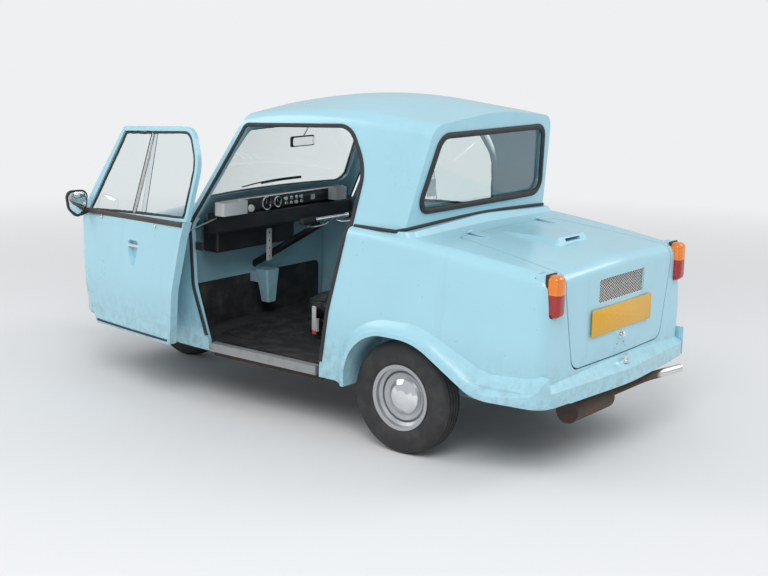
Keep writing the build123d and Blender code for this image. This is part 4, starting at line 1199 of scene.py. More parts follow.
# Sub-assemblies
@dataclass
class Studio:
    """Camera at the photograph's view, pale floor and soft light."""

    position: Corner = (-3.248, 5.014, 1.827)
    yaw: float = -52.716
    pitch: float = 11.520
    roll: float = 1.213
    lens: float = 63.23
    sensor: float = 36.0
    floor_radius: float = 40.0
    floor_shade: float = 0.74
    backdrop: Colour = (0.86, 0.87, 0.88)
    fade_from: float = 3.0
    fade_to: float = 8.0
    sky: Colour = (0.93, 0.96, 1.0)
    sky_strength: float = 0.62

    def build(self) -> None:
        """Make the camera, the floor, the world and the lamps."""
        yaw, pitch, roll = (radians(angle) for angle in (self.yaw, self.pitch, self.roll))
        forward = Vector((cos(yaw) * cos(pitch), sin(yaw) * cos(pitch), -sin(pitch)))
        right = forward.cross(UP).normalized()
        up = right.cross(forward)
        tilted_right = right * cos(roll) + up * sin(roll)
        tilted_up = up * cos(roll) - right * sin(roll)
        camera = bpy.data.cameras.new("studio_camera")
        camera.lens = self.lens
        camera.sensor_width = self.sensor
        holder = bpy.data.objects.new("studio_camera", camera)
        matrix = Matrix((tilted_right, tilted_up, -forward)).transposed().to_4x4()
        matrix.translation = self.position
        holder.matrix_world = matrix
        bpy.context.scene.collection.objects.link(holder)
        bpy.context.scene.camera = holder
        self.add_floor()
        self.add_world()
        self.add_lamp("key_lamp", place=(-2.4, 4.6, 5.2), aim=(0.4, 0.0, 0.5), size=3.4, power=215.0)
        self.add_lamp("fill_lamp", place=(4.6, 3.0, 3.6), aim=(0.9, 0.0, 0.6), size=3.2, power=90.0)
        self.add_lamp("rim_lamp", place=(-3.4, -3.6, 4.2), aim=(0.2, 0.0, 0.6), size=3.0, power=110.0)
        bpy.context.scene.view_settings.view_transform = "Standard"

    def add_floor(self) -> None:
        """Wide pale floor that fades into the backdrop with distance."""
        shape = bmesh.new()
        bmesh.ops.create_circle(shape, cap_ends=True, segments=64, radius=self.floor_radius)
        mesh = bpy.data.meshes.new("studio_floor")
        shape.to_mesh(mesh)
        shape.free()
        recipe = Recipe("studio_floor", (self.floor_shade,) * 3, 0.85)
        reach = recipe.nodes.new("ShaderNodeVectorMath")
        reach.operation = "LENGTH"
        recipe.links.new(recipe.coords(), reach.inputs[0])
        far = recipe.span(reach.outputs["Value"], self.fade_from, self.fade_to)
        ray = recipe.nodes.new("ShaderNodeLightPath")
        seen = recipe.maths("ADD", ray.outputs["Is Camera Ray"], ray.outputs["Is Glossy Ray"])
        seen = recipe.maths("ADD", seen, ray.outputs["Is Transmission Ray"])
        glow = recipe.nodes.new("ShaderNodeEmission")
        glow.inputs["Color"].default_value = (*self.backdrop, 1.0)
        mix = recipe.nodes.new("ShaderNodeMixShader")
        recipe.links.new(recipe.maths("MULTIPLY", far, recipe.maths("MINIMUM", seen, 1.0)), mix.inputs[0])
        recipe.links.new(recipe.shader.outputs[0], mix.inputs[1])
        recipe.links.new(glow.outputs[0], mix.inputs[2])
        recipe.links.new(mix.outputs[0], recipe.nodes["Material Output"].inputs["Surface"])
        mesh.materials.append(recipe.material)
        floor = bpy.data.objects.new("studio_floor", mesh)
        bpy.context.scene.collection.objects.link(floor)

    def add_world(self) -> None:
        """Even pale surroundings that show the backdrop's colour."""
        world = bpy.data.worlds.new("studio_world")
        world.use_nodes = True
        nodes, links = world.node_tree.nodes, world.node_tree.links
        light = nodes["Background"]
        light.inputs["Color"].default_value = (*self.sky, 1.0)
        light.inputs["Strength"].default_value = self.sky_strength
        shown = nodes.new("ShaderNodeBackground")
        shown.inputs["Color"].default_value = (*self.backdrop, 1.0)
        ray = nodes.new("ShaderNodeLightPath")
        mix = nodes.new("ShaderNodeMixShader")
        links.new(ray.outputs["Is Camera Ray"], mix.inputs[0])
        links.new(light.outputs[0], mix.inputs[1])
        links.new(shown.outputs[0], mix.inputs[2])
        links.new(mix.outputs[0], nodes["World Output"].inputs["Surface"])
        bpy.context.scene.world = world

    def add_lamp(self, name: str, place: Corner, aim: Corner, size: float, power: float) -> None:
        """Square soft lamp.

        Args:
            name: The lamp's name.
            place: Where it hangs.
            aim: What it points at.
            size: Side of its square.
            power: Watts.
        """
        light = bpy.data.lights.new(name, "AREA")
        light.size = size
        light.energy = power
        lamp = bpy.data.objects.new(name, light)
        lamp.location = place
        lamp.rotation_euler = (Vector(aim) - Vector(place)).to_track_quat("-Z", "Y").to_euler()
        bpy.context.scene.collection.objects.link(lamp)


@dataclass
class Bodywork:
    """Painted mouldings with the rubber along their joint, windows and doorways.

    Outlines give two coordinates and a corner radius: x and z of the doorway, y and z of the windows.
    """

    finish: Finishes
    doorway: tuple[Corner, ...] = (
        (0.455, 0.240, 0.0), (0.442, 0.306, 0.0), (0.330, 0.880, 0.150), (0.284, 1.180, 0.220),
        (0.380, 1.348, 0.090), (0.985, 1.314, 0.030), (1.262, 0.850, 0.090), (1.215, 0.560, 0.400),
        (1.131, 0.303, 0.0), (1.118, 0.240, 0.0))
    doorway_middle: Flat = (0.78, 0.80)
    doorway_foot: float = 0.31
    doorway_outset: float = 0.004
    doorway_seal: Flat = (0.018, 0.006)
    rear_window: tuple[Corner, ...] = (
        (-0.484, 1.018, 0.050), (-0.402, 1.326, 0.060), (0.402, 1.326, 0.060), (0.484, 1.018, 0.050))
    windscreen: tuple[Corner, ...] = (
        (-0.522, 0.955, 0.042), (-0.428, 1.288, 0.048), (0.428, 1.288, 0.048), (0.522, 0.955, 0.042))
    window_seal: Flat = (0.026, 0.011)
    seal_outset: float = 0.005
    waist_z: float = 0.936
    waist_crown: float = 0.026
    waist_front_x: float = 0.30
    waist_step: float = 0.02
    waist_steps: int = 12
    tail_half: float = 0.55
    tail_edge: float = 0.7
    tail_power: float = 1.6
    tail_steps: int = 24
    waist_strip: Flat = (0.016, 0.007)
    inner_y: float = 0.3
    beside: float = 0.95
    behind: float = -0.6
    before: float = 2.2

    def build(self) -> None:
        """Dress the mouldings and lay their rubber."""
        dress(self.finish.gelcoat, *SHELL, "engine_lid", "bonnet_lid")
        dress(self.finish.glass, "rear_window", "windscreen")
        skin = Skin(*SHELL)
        self.waist_seam(skin)
        self.window_seals(skin)
        self.door_seals(skin)

    def waist_seam(self, skin: Skin) -> None:
        """Black strip over the joint between the cabin top and the rear body.

        Args:
            skin: Outside of the mouldings.
        """
        flank = [(self.waist_front_x - self.waist_step * k, 0.9, self.waist_z)
                 for k in range(self.waist_steps)]
        left_path, left_normals = skin.trace(flank, RIGHT)
        tail = []
        for k in range(self.tail_steps + 1):
            y = self.tail_half - 2.0 * self.tail_half * k / self.tail_steps
            rise = self.waist_crown * (1.0 - (abs(y) / self.tail_edge) ** self.tail_power)
            tail.append((self.behind, y, self.waist_z + rise))
        rear_path, rear_normals = skin.trace(tail, AHEAD)
        right_path = [Vector((p.x, -p.y, p.z)) for p in reversed(left_path)]
        right_normals = [Vector((n.x, -n.y, n.z)) for n in reversed(left_normals)]
        path = left_path + rear_path + right_path
        normals = left_normals + rear_normals + right_normals
        strip("waist_seam_strip", path, normals, self.waist_strip, self.finish.seal)

    def window_seals(self, skin: Skin) -> None:
        """Thick rubber round the rear window and the windscreen.

        Args:
            skin: Outside of the mouldings.
        """
        for word, window, start_x, way in (("rear_window", self.rear_window, self.behind, AHEAD),
                                           ("windscreen", self.windscreen, self.before, BACK)):
            outline = grown(rounded_outline(window, arc_steps=8, spacing=0.03), self.seal_outset)
            path, normals = skin.trace([(start_x, y, z) for y, z in outline], way)
            strip(f"{word}_seal", path, normals, self.window_seal, self.finish.seal, True)

    def door_seals(self, skin: Skin) -> None:
        """Rubber edging round both doorways, open at the sill.

        Args:
            skin: Outside of the mouldings.
        """
        outline = grown(rounded_outline(self.doorway, arc_steps=8, spacing=0.025), self.doorway_outset)
        edge = sorted((spot for spot in outline if spot[1] >= self.doorway_foot), key=self.turn_about)
        for side, word in SIDES:
            starts = [(x, side * self.beside, z) for x, z in edge]
            found = zip(*skin.trace(starts, Vector((0.0, -side, 0.0))))
            near = [pair for pair in found if abs(pair[0].y) > self.inner_y]
            path, normals = [pair[0] for pair in near], [pair[1] for pair in near]
            strip(f"doorway_seal_{word}", path, normals, self.doorway_seal, self.finish.seal)

    def turn_about(self, spot: Flat) -> float:
        """Angle of a doorway point about its middle, from the sill's front end over the top."""
        angle = atan2(spot[1] - self.doorway_middle[1], spot[0] - self.doorway_middle[0])
        return (angle + pi / 2.0) % (2.0 * pi)


@dataclass
class EngineLid:
    """Rear lid with its blank plate, lock and vent mesh, and the pull handle on the bumper below."""

    finish: Finishes
    plate_half: Flat = (0.260, 0.0555)
    plate_z: float = 0.606
    lock_z: float = 0.522
    screw_z: float = 0.484
    screw_y: float = 0.028
    handle_start: Corner = (-0.715, 0.0, 0.60)
    vent_half: float = 0.196
    vent_low: float = 0.678
    vent_high: float = 0.782
    vent_x: float = -0.6795
    vent_rim: float = 0.004
    mesh_pitch: Flat = (0.023, 0.0128)
    strand: float = 0.0012
    strand_samples: int = 400
    fewest_samples: int = 12
    shade_sheet_depth: float = 0.0052
    behind: float = -1.2

    def build(self) -> None:
        """Add what sits on the lid, and the bumper's handle."""
        lid = Skin("engine_lid", "body_rear")
        self.plate_and_lock(lid)
        self.handle(lid)
        self.vent()

    def plate_and_lock(self, lid: Skin) -> None:
        """Blank number plate, lock knob and two small screws.

        Args:
            lid: Outside of the lid and the rear body.
        """
        face = lid.hit((self.behind, 0.0, 0.612), AHEAD)[0].x
        half_y, half_z = self.plate_half
        outline = rounded_rectangle((-half_y, -half_z), (half_y, half_z), radius=0.008)
        plate = slab(outline, 0.004, facing((face - 0.002, 0.0, self.plate_z)), edge=0.001)
        finish_mesh(plate, "rear_number_plate", self.finish.yellow, "engine_lid")
        knob = [(0.0, 0.022), (0.008, 0.021), (0.013, 0.016), (0.013, 0.010), (0.009, 0.006), (0.017, 0.003),
                (0.017, 0.0)]
        seat = lid.hit((self.behind, 0.0, self.lock_z), AHEAD)[0]
        finish_mesh(turned(knob, seat, BACK, steps=28), "lid_lock_knob", self.finish.chrome, "engine_lid")
        screw = [(0.0, 0.0006), (0.0034, 0.0006), (0.0040, -0.001)]
        for side, word in SIDES:
            spot, out = lid.hit((self.behind, side * self.screw_y, self.screw_z), AHEAD)
            finish_mesh(turned(screw, spot, out, 20), f"lid_screw_{word}", self.finish.black, "engine_lid")

    def handle(self, lid: Skin) -> None:
        """Small chrome T handle on the bumper's shelf.

        Args:
            lid: Outside of the lid and the rear body.
        """
        shelf = lid.hit(self.handle_start, DOWN)[0]
        base = [(0.0, 0.009), (0.008, 0.0085), (0.013, 0.0055), (0.018, 0.0040), (0.019, 0.0010),
                (0.019, -0.0030)]
        finish_mesh(turned(base, shelf, UP, steps=28), "bumper_handle_base", self.finish.chrome)
        stem = [shelf, shelf + Vector((-0.004, 0.0, 0.030))]
        tube("bumper_handle_stem", stem, 0.006, self.finish.chrome, smooth=1)
        bar = [shelf + Vector((-0.004, y, 0.026)) for y in (-0.022, 0.022)]
        tube("bumper_handle_bar", bar, 0.006, self.finish.chrome, smooth=1)

    def vent(self) -> None:
        """Fine diamond mesh over a black sheet that paints the shade inside the lid's vent."""
        half, low, high = self.vent_half, self.vent_low, self.vent_high
        bars: list[bmesh.types.BMesh] = []
        for lean, thick, depth in ((1.0, self.strand, 0.0019), (-1.0, 0.0030, 0.0007)):
            for (y0, z0), (y1, z1) in self.bar_ends(lean):
                length = Vector((y1 - y0, z1 - z0)).length
                bar = solid_block((self.strand, length, thick), (0.0, 0.0, 0.0), edge=0.0)
                turn = Matrix.Rotation(atan2(z1 - z0, y1 - y0), 4, "X")
                place = Matrix.Translation((self.vent_x + depth, (y0 + y1) / 2.0, (z0 + z1) / 2.0))
                bmesh.ops.transform(bar, matrix=place @ turn, verts=bar.verts)
                bars.append(bar)
        rim = self.vent_rim
        for y0, y1, z0, z1 in ((-half, half, low, low + rim), (-half, half, high - rim, high),
                               (-half, -half + rim, low, high), (half - rim, half, low, high)):
            middle = (self.vent_x + 0.0015, (y0 + y1) / 2.0, (z0 + z1) / 2.0)
            bars.append(solid_block((0.003, y1 - y0, z1 - z0), middle, edge=0.0))
        mesh = finish_mesh(join_blocks(bars), "vent_mesh", self.finish.bright_mesh, "engine_lid")
        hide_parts("engine_lid_grille")
        # Black sheet behind the mesh: painted shade where the vent opens into the dark inside.
        outline = rounded_rectangle((-half, low), (half, high), rim)
        back = slab(outline, 0.001, facing((self.vent_x + self.shade_sheet_depth, 0.0, 0.0)))
        finish_mesh(back, "vent_shade_sheet", self.finish.black, "engine_lid")

    def bar_ends(self, lean: float) -> list[tuple[Flat, Flat]]:
        """Ends of the vent's slanted bars that lean one way.

        Args:
            lean: 1 to lean towards +Y, -1 towards -Y.

        Returns:
            Two (y, z) points for each bar.
        """
        pitch_y, pitch_z = self.mesh_pitch
        run = (self.vent_high - self.vent_low) / (pitch_z / pitch_y)
        first = -self.vent_half - run if lean > 0.0 else -self.vent_half
        samples = self.strand_samples
        ends = []
        for index in range(int((2.0 * self.vent_half + run) / pitch_y) + 1):
            foot = first + index * pitch_y
            inside = []
            for step in range(samples + 1):
                share = step / samples
                y = foot + lean * run * share
                if -self.vent_half <= y <= self.vent_half:
                    inside.append((y, self.vent_low + (self.vent_high - self.vent_low) * share))
            if len(inside) >= self.fewest_samples:
                ends.append((inside[0], inside[-1]))
        return ends


@dataclass
class Sills:
    """Tread plates and door jambs."""

    finish: Finishes
    rib_size: Corner = (0.630, 0.0032, 0.0028)
    rib_x: float = 0.788
    first_rib_y: float = 0.592
    rib_pitch: float = 0.0065
    ribs: int = 5
    socket_size: Corner = (0.045, 0.014, 0.041)
    socket_place: Corner = (1.200, 0.600, 0.744)

    def build(self) -> None:
        """Ribs on both tread plates, and the latch sockets of the door jambs."""
        treads = Skin("sill_treads")
        for side, word in SIDES:
            blocks = []
            for index in range(self.ribs):
                y = side * (self.first_rib_y + self.rib_pitch * index)
                found = treads.hit((self.rib_x, y, 0.40), DOWN)
                if found is not None:
                    blocks.append(solid_block(self.rib_size, (self.rib_x, y, found[0].z + 0.0006), 0.0010, 2))
            if blocks:
                finish_mesh(join_blocks(blocks), f"sill_ribs_{word}", self.finish.alloy)
            x, y, z = self.socket_place
            socket = solid_block(self.socket_size, (x, side * y, z), edge=0.005)
            finish_mesh(socket, f"latch_socket_{word}", self.finish.black)


@dataclass
class Nose:
    """Headlamps, front indicators and wiper."""

    finish: Finishes
    headlamp: Corner = (2.208, 0.352, 0.560)
    indicator: Corner = (2.6, 0.500, 0.560)
    wiper_row: tuple[Flat, ...] = ((0.20, 0.972), (0.06, 0.984), (-0.08, 0.990), (-0.22, 0.992))

    def build(self) -> None:
        """Add the fittings of the nose."""
        dress(self.finish.satin, "headlamps")
        skin = Skin(*SHELL)
        for side, word in SIDES:
            self.headlamp_parts(side, word)
            x, y, z = self.indicator
            found = skin.hit((x, side * y, z), BACK)
            if found is not None:
                dome = [(0.0, 0.014), (0.012, 0.0125), (0.020, 0.008), (0.023, 0.0), (0.023, -0.006)]
                finish_mesh(turned(dome, *found, steps=36), f"front_indicator_{word}", self.finish.amber)
        self.wiper()

    def headlamp_parts(self, side: float, word: str) -> None:
        """Chrome rim and domed glass of one headlamp.

        Args:
            side: 1 for the left lamp, -1 for the right one.
            word: The side's name.
        """
        x, y, z = self.headlamp
        centre = Vector((x, side * y, z))
        rim = [(0.067, 0.004), (0.071, 0.012), (0.078, 0.014), (0.084, 0.008), (0.0845, -0.010),
               (0.067, -0.010), (0.067, 0.004)]
        finish_mesh(turned(rim, centre, AHEAD, steps=64), f"headlamp_rim_{word}", self.finish.chrome)
        dome = [(0.0, 0.017), (0.025, 0.0155), (0.048, 0.0115), (0.067, 0.006), (0.067, 0.003),
                (0.048, 0.0085), (0.025, 0.0125), (0.0, 0.014)]
        finish_mesh(turned(dome, centre, AHEAD, steps=64), f"headlamp_glass_{word}", self.finish.lamp_glass)

    def wiper(self) -> None:
        """Wiper parked along the foot of the windscreen."""
        path, normals = Skin("windscreen").trace([(2.0, y, z) for y, z in self.wiper_row], BACK)
        arm = [point + normal * 0.010 for point, normal in zip(path, normals)]
        if len(arm) > 2:
            tube("wiper_arm", arm, 0.0032, self.finish.paint_black)
            blade = [point - Vector((0.0, 0.0, 0.006)) for point in arm[1:]]
            tube("wiper_blade", blade, 0.0042, self.finish.seal)


@dataclass
class Wheel:
    """One road wheel: ribbed tyre, pressed rim and domed cap."""

    finish: Finishes
    body: str
    centre: Vector
    side: float
    tyre_radius: float = 0.244
    tyre_width: float = 0.126
    rim_radius: float = 0.136
    crown_fall: float = 0.9
    grooves: tuple[float, ...] = (0.0300, 0.0100, -0.0100, -0.0300)
    groove_depth: float = 0.007
    groove_half: Flat = (0.0034, 0.0022)

    def build(self) -> None:
        """Replace the tyre and dress the rest."""
        tyre = turned(self.tyre_profile(), self.centre, Vector((0.0, self.side, 0.0)), steps=96)
        piece = finish_mesh(tyre, f"{self.body}_tread", self.finish.tyre, self.body, crease=32.0)
        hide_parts(f"{self.body}_tyre")
        dress(self.finish.silver, f"{self.body}_rim")
        dress(self.finish.chrome, f"{self.body}_hubcap")

    def tyre_profile(self) -> list[Flat]:
        """Section of the tyre as (radius, along), closed on itself, with four grooves in its tread.

        Returns:
            The points, from the inner wall's foot round to it again.
        """
        half = self.tyre_width / 2.0
        wall = [(self.rim_radius - 0.005, 0.046), (self.rim_radius + 0.006, 0.050), (0.148, 0.0535),
                (0.156, 0.058), (0.160, 0.0585), (0.168, 0.0615), (0.186, half), (0.203, half - 0.0006),
                (0.214, 0.0600), (0.219, 0.0600), (0.226, 0.0570), (0.2335, 0.0515), (0.2385, 0.0455)]
        mouth, foot = self.groove_half
        tread: list[Flat] = []
        for middle in self.grooves:
            crown = self.tyre_radius - self.crown_fall * middle * middle
            bottom = crown - self.groove_depth
            tread += [(crown, middle + mouth), (bottom, middle + foot), (bottom, middle - foot),
                      (crown, middle - mouth)]
        other_wall = [(radius, -along) for radius, along in reversed(wall)]
        return wall + tread + other_wall + wall[:1]


@dataclass
class Lamps:
    """Rear lamps with their housings and rubber bases."""

    finish: Finishes
    y: float = 0.533
    z: float = 0.763
    lens_size: Corner = (0.064, 0.070, 0.170)
    lens_x: float = -0.674
    red_ends_z: float = 0.7692
    amber_from_z: float = 0.7708
    housing_size: Corner = (0.048, 0.0715, 0.1695)
    housing_x: float = -0.6245
    base_size: Corner = (0.012, 0.0755, 0.1755)
    base_x: float = -0.6520

    def build(self) -> None:
        """Replace the plain lamp blocks."""
        colours = (("red", self.finish.red, self.red_ends_z, False),
                   ("amber", self.finish.amber, self.amber_from_z, True))
        for side, word in SIDES:
            y = side * self.y
            for colour, coat, cut_z, above in colours:
                lens = solid_block(self.lens_size, (self.lens_x, y, self.z), edge=0.024, steps=5)
                cut_at(lens, cut_z, above)
                piece = finish_mesh(lens, f"rear_lamp_{word}_{colour}", coat, crease=40.0)
                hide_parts("rear_lamps")
            housing = solid_block(self.housing_size, (self.housing_x, y, self.z), edge=0.006)
            finish_mesh(housing, f"rear_lamp_{word}_housing", self.finish.gelcoat)
            base = solid_block(self.base_size, (self.base_x, y, self.z), edge=0.005)
            finish_mesh(base, f"rear_lamp_{word}_base", self.finish.seal)


@dataclass
class Doors:
    """Both doors: the left one stands open, the right one is shut.

    Every piece is shaped on the shut left door and then placed.
    """

    finish: Finishes
    beside: float = 0.95
    window_middle: Flat = (0.760, 1.070)
    window_reach: float = 0.60
    search_step: float = 0.003
    channel_inset: float = 0.006
    channel_steps: int = 110
    divider_top: Flat = (0.715, 1.272)
    divider_fall: Flat = (0.065, 0.385)
    divider_steps: int = 12
    catches: Flat = (0.560, 1.040)
    catch_z: float = 0.848
    moulding_steps: int = 40
    moulding_front: Flat = (1.232, 0.863)
    moulding_run: Flat = (0.885, 0.012)
    foot_steps: int = 30
    foot_front: Flat = (1.110, 0.322)
    foot_run: float = 0.640
    mirror_place: Corner = (1.1750, 0.668, 0.905)

    def build(self) -> None:
        """Dress both doors."""
        for _, word in SIDES:
            dress(self.finish.gelcoat, f"door_{word}_panel", f"door_{word}_window_frame")
            dress(self.finish.glass, f"door_{word}_panes")
            dress(self.finish.chrome, f"door_{word}_handle")
            dress(self.finish.black, f"door_{word}_mirror")
        dress(self.finish.satin, "door_left_stay")
        panes = Skin("door_right_panes", move=FLIP_SIDE)
        panel = Skin("door_right_panel", "door_right_window_frame", move=FLIP_SIDE)
        for word, move in (("left", DOOR_OPEN), ("right", FLIP_SIDE)):
            self.glazing(panes, word, move)
            self.trim(panel, word, move)
            self.mirror_glass(word, move)

    def pane_edge(self, panes: Skin, angle: float) -> tuple[Vector, Vector] | None:
        """Point of the glass just inside its edge.

        Args:
            panes: The glass.
            angle: Direction from the window's middle, in radians.

        Returns:
            The point and the glass's outward direction, or None where no glass is met.
        """
        middle = Vector(self.window_middle)
        way = Vector((cos(angle), sin(angle)))
        reach = self.window_reach
        while reach > 0.05:
            spot = middle + way * reach
            if panes.hit((spot.x, self.beside, spot.y), RIGHT) is not None:
                inside = middle + way * (reach - self.channel_inset)
                return panes.hit((inside.x, self.beside, inside.y), RIGHT)
            reach -= self.search_step
        return None

    def glazing(self, panes: Skin, word: str, move: Matrix) -> None:
        """Rubber channel round the glass, and the upright bar that parts the panes.

        Args:
            panes: The glass.
            word: The door's side.
            move: Placement from the shut left door.
        """
        angles = [2.0 * pi * step / self.channel_steps for step in range(self.channel_steps)]
        edge = [found for found in (self.pane_edge(panes, angle) for angle in angles) if found is not None]
        path, normals = [point for point, _ in edge], [normal for _, normal in edge]
        strip(f"door_{word}_glass_channel", path, normals, (0.013, 0.006), self.finish.seal, True, move)
        (x, z), (run, drop), steps = self.divider_top, self.divider_fall, self.divider_steps
        for part, shift, size, coat in (("divider", 0.0, (0.020, 0.009), self.finish.satin),
                                        ("divider_seal", 0.015, (0.009, 0.006), self.finish.seal)):
            starts = [(x + run * k / steps + shift, self.beside, z - drop * k / steps)
                      for k in range(steps + 1)]
            path, normals = panes.trace(starts, RIGHT)
            if len(path) > 3:
                strip(f"door_{word}_{part}", path, normals, size, coat, move=move)

    def trim(self, panel: Skin, word: str, move: Matrix) -> None:
        """Waist moulding, foot seal and two catches.

        Args:
            panel: The door's outside.
            word: The door's side.
            move: Placement from the shut left door.
        """
        (x, z), (run, rise), steps = self.moulding_front, self.moulding_run, self.moulding_steps
        starts = [(x - run * k / steps, self.beside, z + rise * k / steps) for k in range(steps + 1)]
        path, _ = panel.trace(starts, RIGHT)
        proud = max(point.y for point in path)
        rail = [Vector((point.x, proud, point.z)) for point in path]
        strip(f"door_{word}_waist_moulding", rail, [LEFT] * len(rail), (0.022, 0.005), self.finish.brown,
              move=move, sunk=0.014)
        (x, z), steps = self.foot_front, self.foot_steps
        starts = [(x - self.foot_run * k / steps, self.beside, z) for k in range(steps + 1)]
        path, normals = panel.trace(starts, RIGHT)
        strip(f"door_{word}_foot_seal", path, normals, (0.010, 0.004), self.finish.seal, move=move)
        knob = [(0.0, 0.010), (0.006, 0.0095), (0.009, 0.006), (0.007, 0.003), (0.007, -0.003)]
        for index, x in enumerate(self.catches):
            found = panel.hit((x, self.beside, self.catch_z), RIGHT)
            if found is not None:
                catch = turned(knob, *found, steps=24)
                finish_mesh(catch, f"door_{word}_catch_{index}", self.finish.chrome, move=move)

    def mirror_glass(self, word: str, move: Matrix) -> None:
        """Shield-shaped glass on the back of the door mirror.

        Args:
            word: The door's side.
            move: Placement from the shut left door.
        """
        shield = rounded_outline(((-0.054, 0.054, 0.028), (0.054, 0.054, 0.028), (0.043, -0.028, 0.040),
                                  (0.0, -0.060, 0.016), (-0.043, -0.028, 0.040)), arc_steps=6)
        glass = slab(shield, 0.0016, facing(self.mirror_place), edge=0.0006)
        finish_mesh(glass, f"door_{word}_mirror_glass", self.finish.mirror, move=move)


@dataclass
class Seat:
    """Padded cushion and back, with the belt's release beside them."""

    finish: Finishes
    back_foot: Corner = (0.3786, 0.0, 0.4043)
    back_lean: float = -12.0

    def build(self) -> None:
        """Pad the seat."""
        dress(self.finish.white, "seat_belt_buckle")
        Pad("seat_cushion_pad", "seat_cushion", (0.428, 0.452, 0.086), (0.660, 0.0, 0.4480),
            Matrix.Identity(4), seat_axis=2, seam_axis=0, seams=(0.560, 0.700),
            rest_low=0.4008).build(self.finish.vinyl)
        lean = Matrix.Translation(self.back_foot) @ Matrix.Rotation(radians(self.back_lean), 4, "Y")
        Pad("seat_back_pad", "seat_back", (0.052, 0.440, 0.512), (-0.004, 0.0, 0.284), lean,
            seat_axis=0, seam_axis=2, seams=(0.200, 0.370), rest_low=-0.044).build(self.finish.vinyl)


@dataclass
class Dash:
    """Dashboard's top, trays, instruments and switches."""

    finish: Finishes
    face_x: float = 1.176
    gauge_z: float = 0.906
    gauges: tuple[Flat, ...] = ((0.170, 0.030), (0.090, 0.024))
    knobs: int = 8
    knobs_per_row: int = 4
    first_knob: Flat = (0.036, 0.918)
    knob_pitch: Flat = (0.038, 0.024)
    trays: tuple[tuple[str, float, float], ...] = (("left", 0.440, 0.170), ("right", -0.345, 0.090))
    trim_points: int = 25
    trim_pitch: float = 0.0372

    def build(self) -> None:
        """Build the dash from its top down."""
        black, white = self.finish.black, self.finish.white
        profile = rounded_outline(((1.176, 0.882, 0.0), (1.174, 0.918, 0.014), (1.192, 0.937, 0.010),
                                   (1.222, 0.941, 0.006), (1.240, 0.882, 0.0)), arc_steps=5)
        top = slab(profile, 0.900, facing((0.0, 0.450, 0.0), AHEAD, RIGHT))
        finish_mesh(top, "dash_top", black, crease=30.0)
        for word, y, wide in self.trays:
            tray = open_tray((0.060, wide, 0.062), (1.148, y, 0.912), wall=0.004, depth=0.046, edge=0.010)
            finish_mesh(tray, f"dash_tray_{word}", self.finish.grey)
        for index, (y, radius) in enumerate(self.gauges):
            self.gauge(index, y, radius)
        self.knob_rows()
        edge = [Vector((1.189, 0.446 - self.trim_pitch * step, 0.9375)) for step in range(self.trim_points)]
        slope = Vector((-0.6, 0.0, 0.8))
        strip("dash_edge_trim", edge, [slope] * self.trim_points, (0.007, 0.003), self.finish.chrome)
        finish_mesh(solid_block((0.004, 0.030, 0.026), (1.173, -0.180, 0.905), edge=0.0015, steps=2),
                    "dash_switch_plate", white)
        switch = [(0.0, 0.014), (0.015, 0.013), (0.018, 0.008), (0.018, 0.0)]
        finish_mesh(turned(switch, Vector((1.170, 0.286, 0.893)), BACK, steps=32), "dash_round_switch", white)
        # Black box under the dash: its dark lining, and painted shade for the dark space there.
        finish_mesh(solid_block((0.100, 0.560, 0.150), (1.300, 0.150, 0.755), 0.012), "underdash_lining_and_shade", black)

    def gauge(self, index: int, y: float, radius: float) -> None:
        """Round instrument without marks.

        Args:
            index: Its number, for the pieces' names.
            y: Its place across the dash.
            radius: Its rim's radius.
        """
        centre = Vector((self.face_x, y, self.gauge_z))
        rim = [(radius, -0.004), (radius + 0.004, 0.006), (radius + 0.002, 0.011), (radius - 0.002, 0.010),
               (radius - 0.003, 0.004)]
        finish_mesh(turned(rim, centre, BACK, steps=40), f"gauge_rim_{index}", self.finish.chrome)
        face = [(0.0, 0.0045), (radius - 0.001, 0.0045), (radius - 0.001, 0.0)]
        finish_mesh(turned(face, centre, BACK, steps=40), f"gauge_face_{index}", self.finish.paint_black)
        needle = solid_block((0.0012, 0.0016, radius * 0.75), (1.1706, y, self.gauge_z + radius * 0.30),
                             edge=0.0004, steps=2)
        finish_mesh(needle, f"gauge_needle_{index}", self.finish.white)

    def knob_rows(self) -> None:
        """Two rows of pull knobs, every third of them pale."""
        profile = [(0.0, 0.020), (0.008, 0.019), (0.010, 0.014), (0.006, 0.009), (0.005, 0.0)]
        (first_y, first_z), (pitch_y, pitch_z) = self.first_knob, self.knob_pitch
        for index in range(self.knobs):
            row, column = divmod(index, self.knobs_per_row)
            centre = Vector((self.face_x, first_y - pitch_y * column, first_z - pitch_z * row))
            coat = self.finish.chrome if index % 3 else self.finish.white
            finish_mesh(turned(profile, centre, BACK, steps=24), f"dash_knob_{index}", coat)


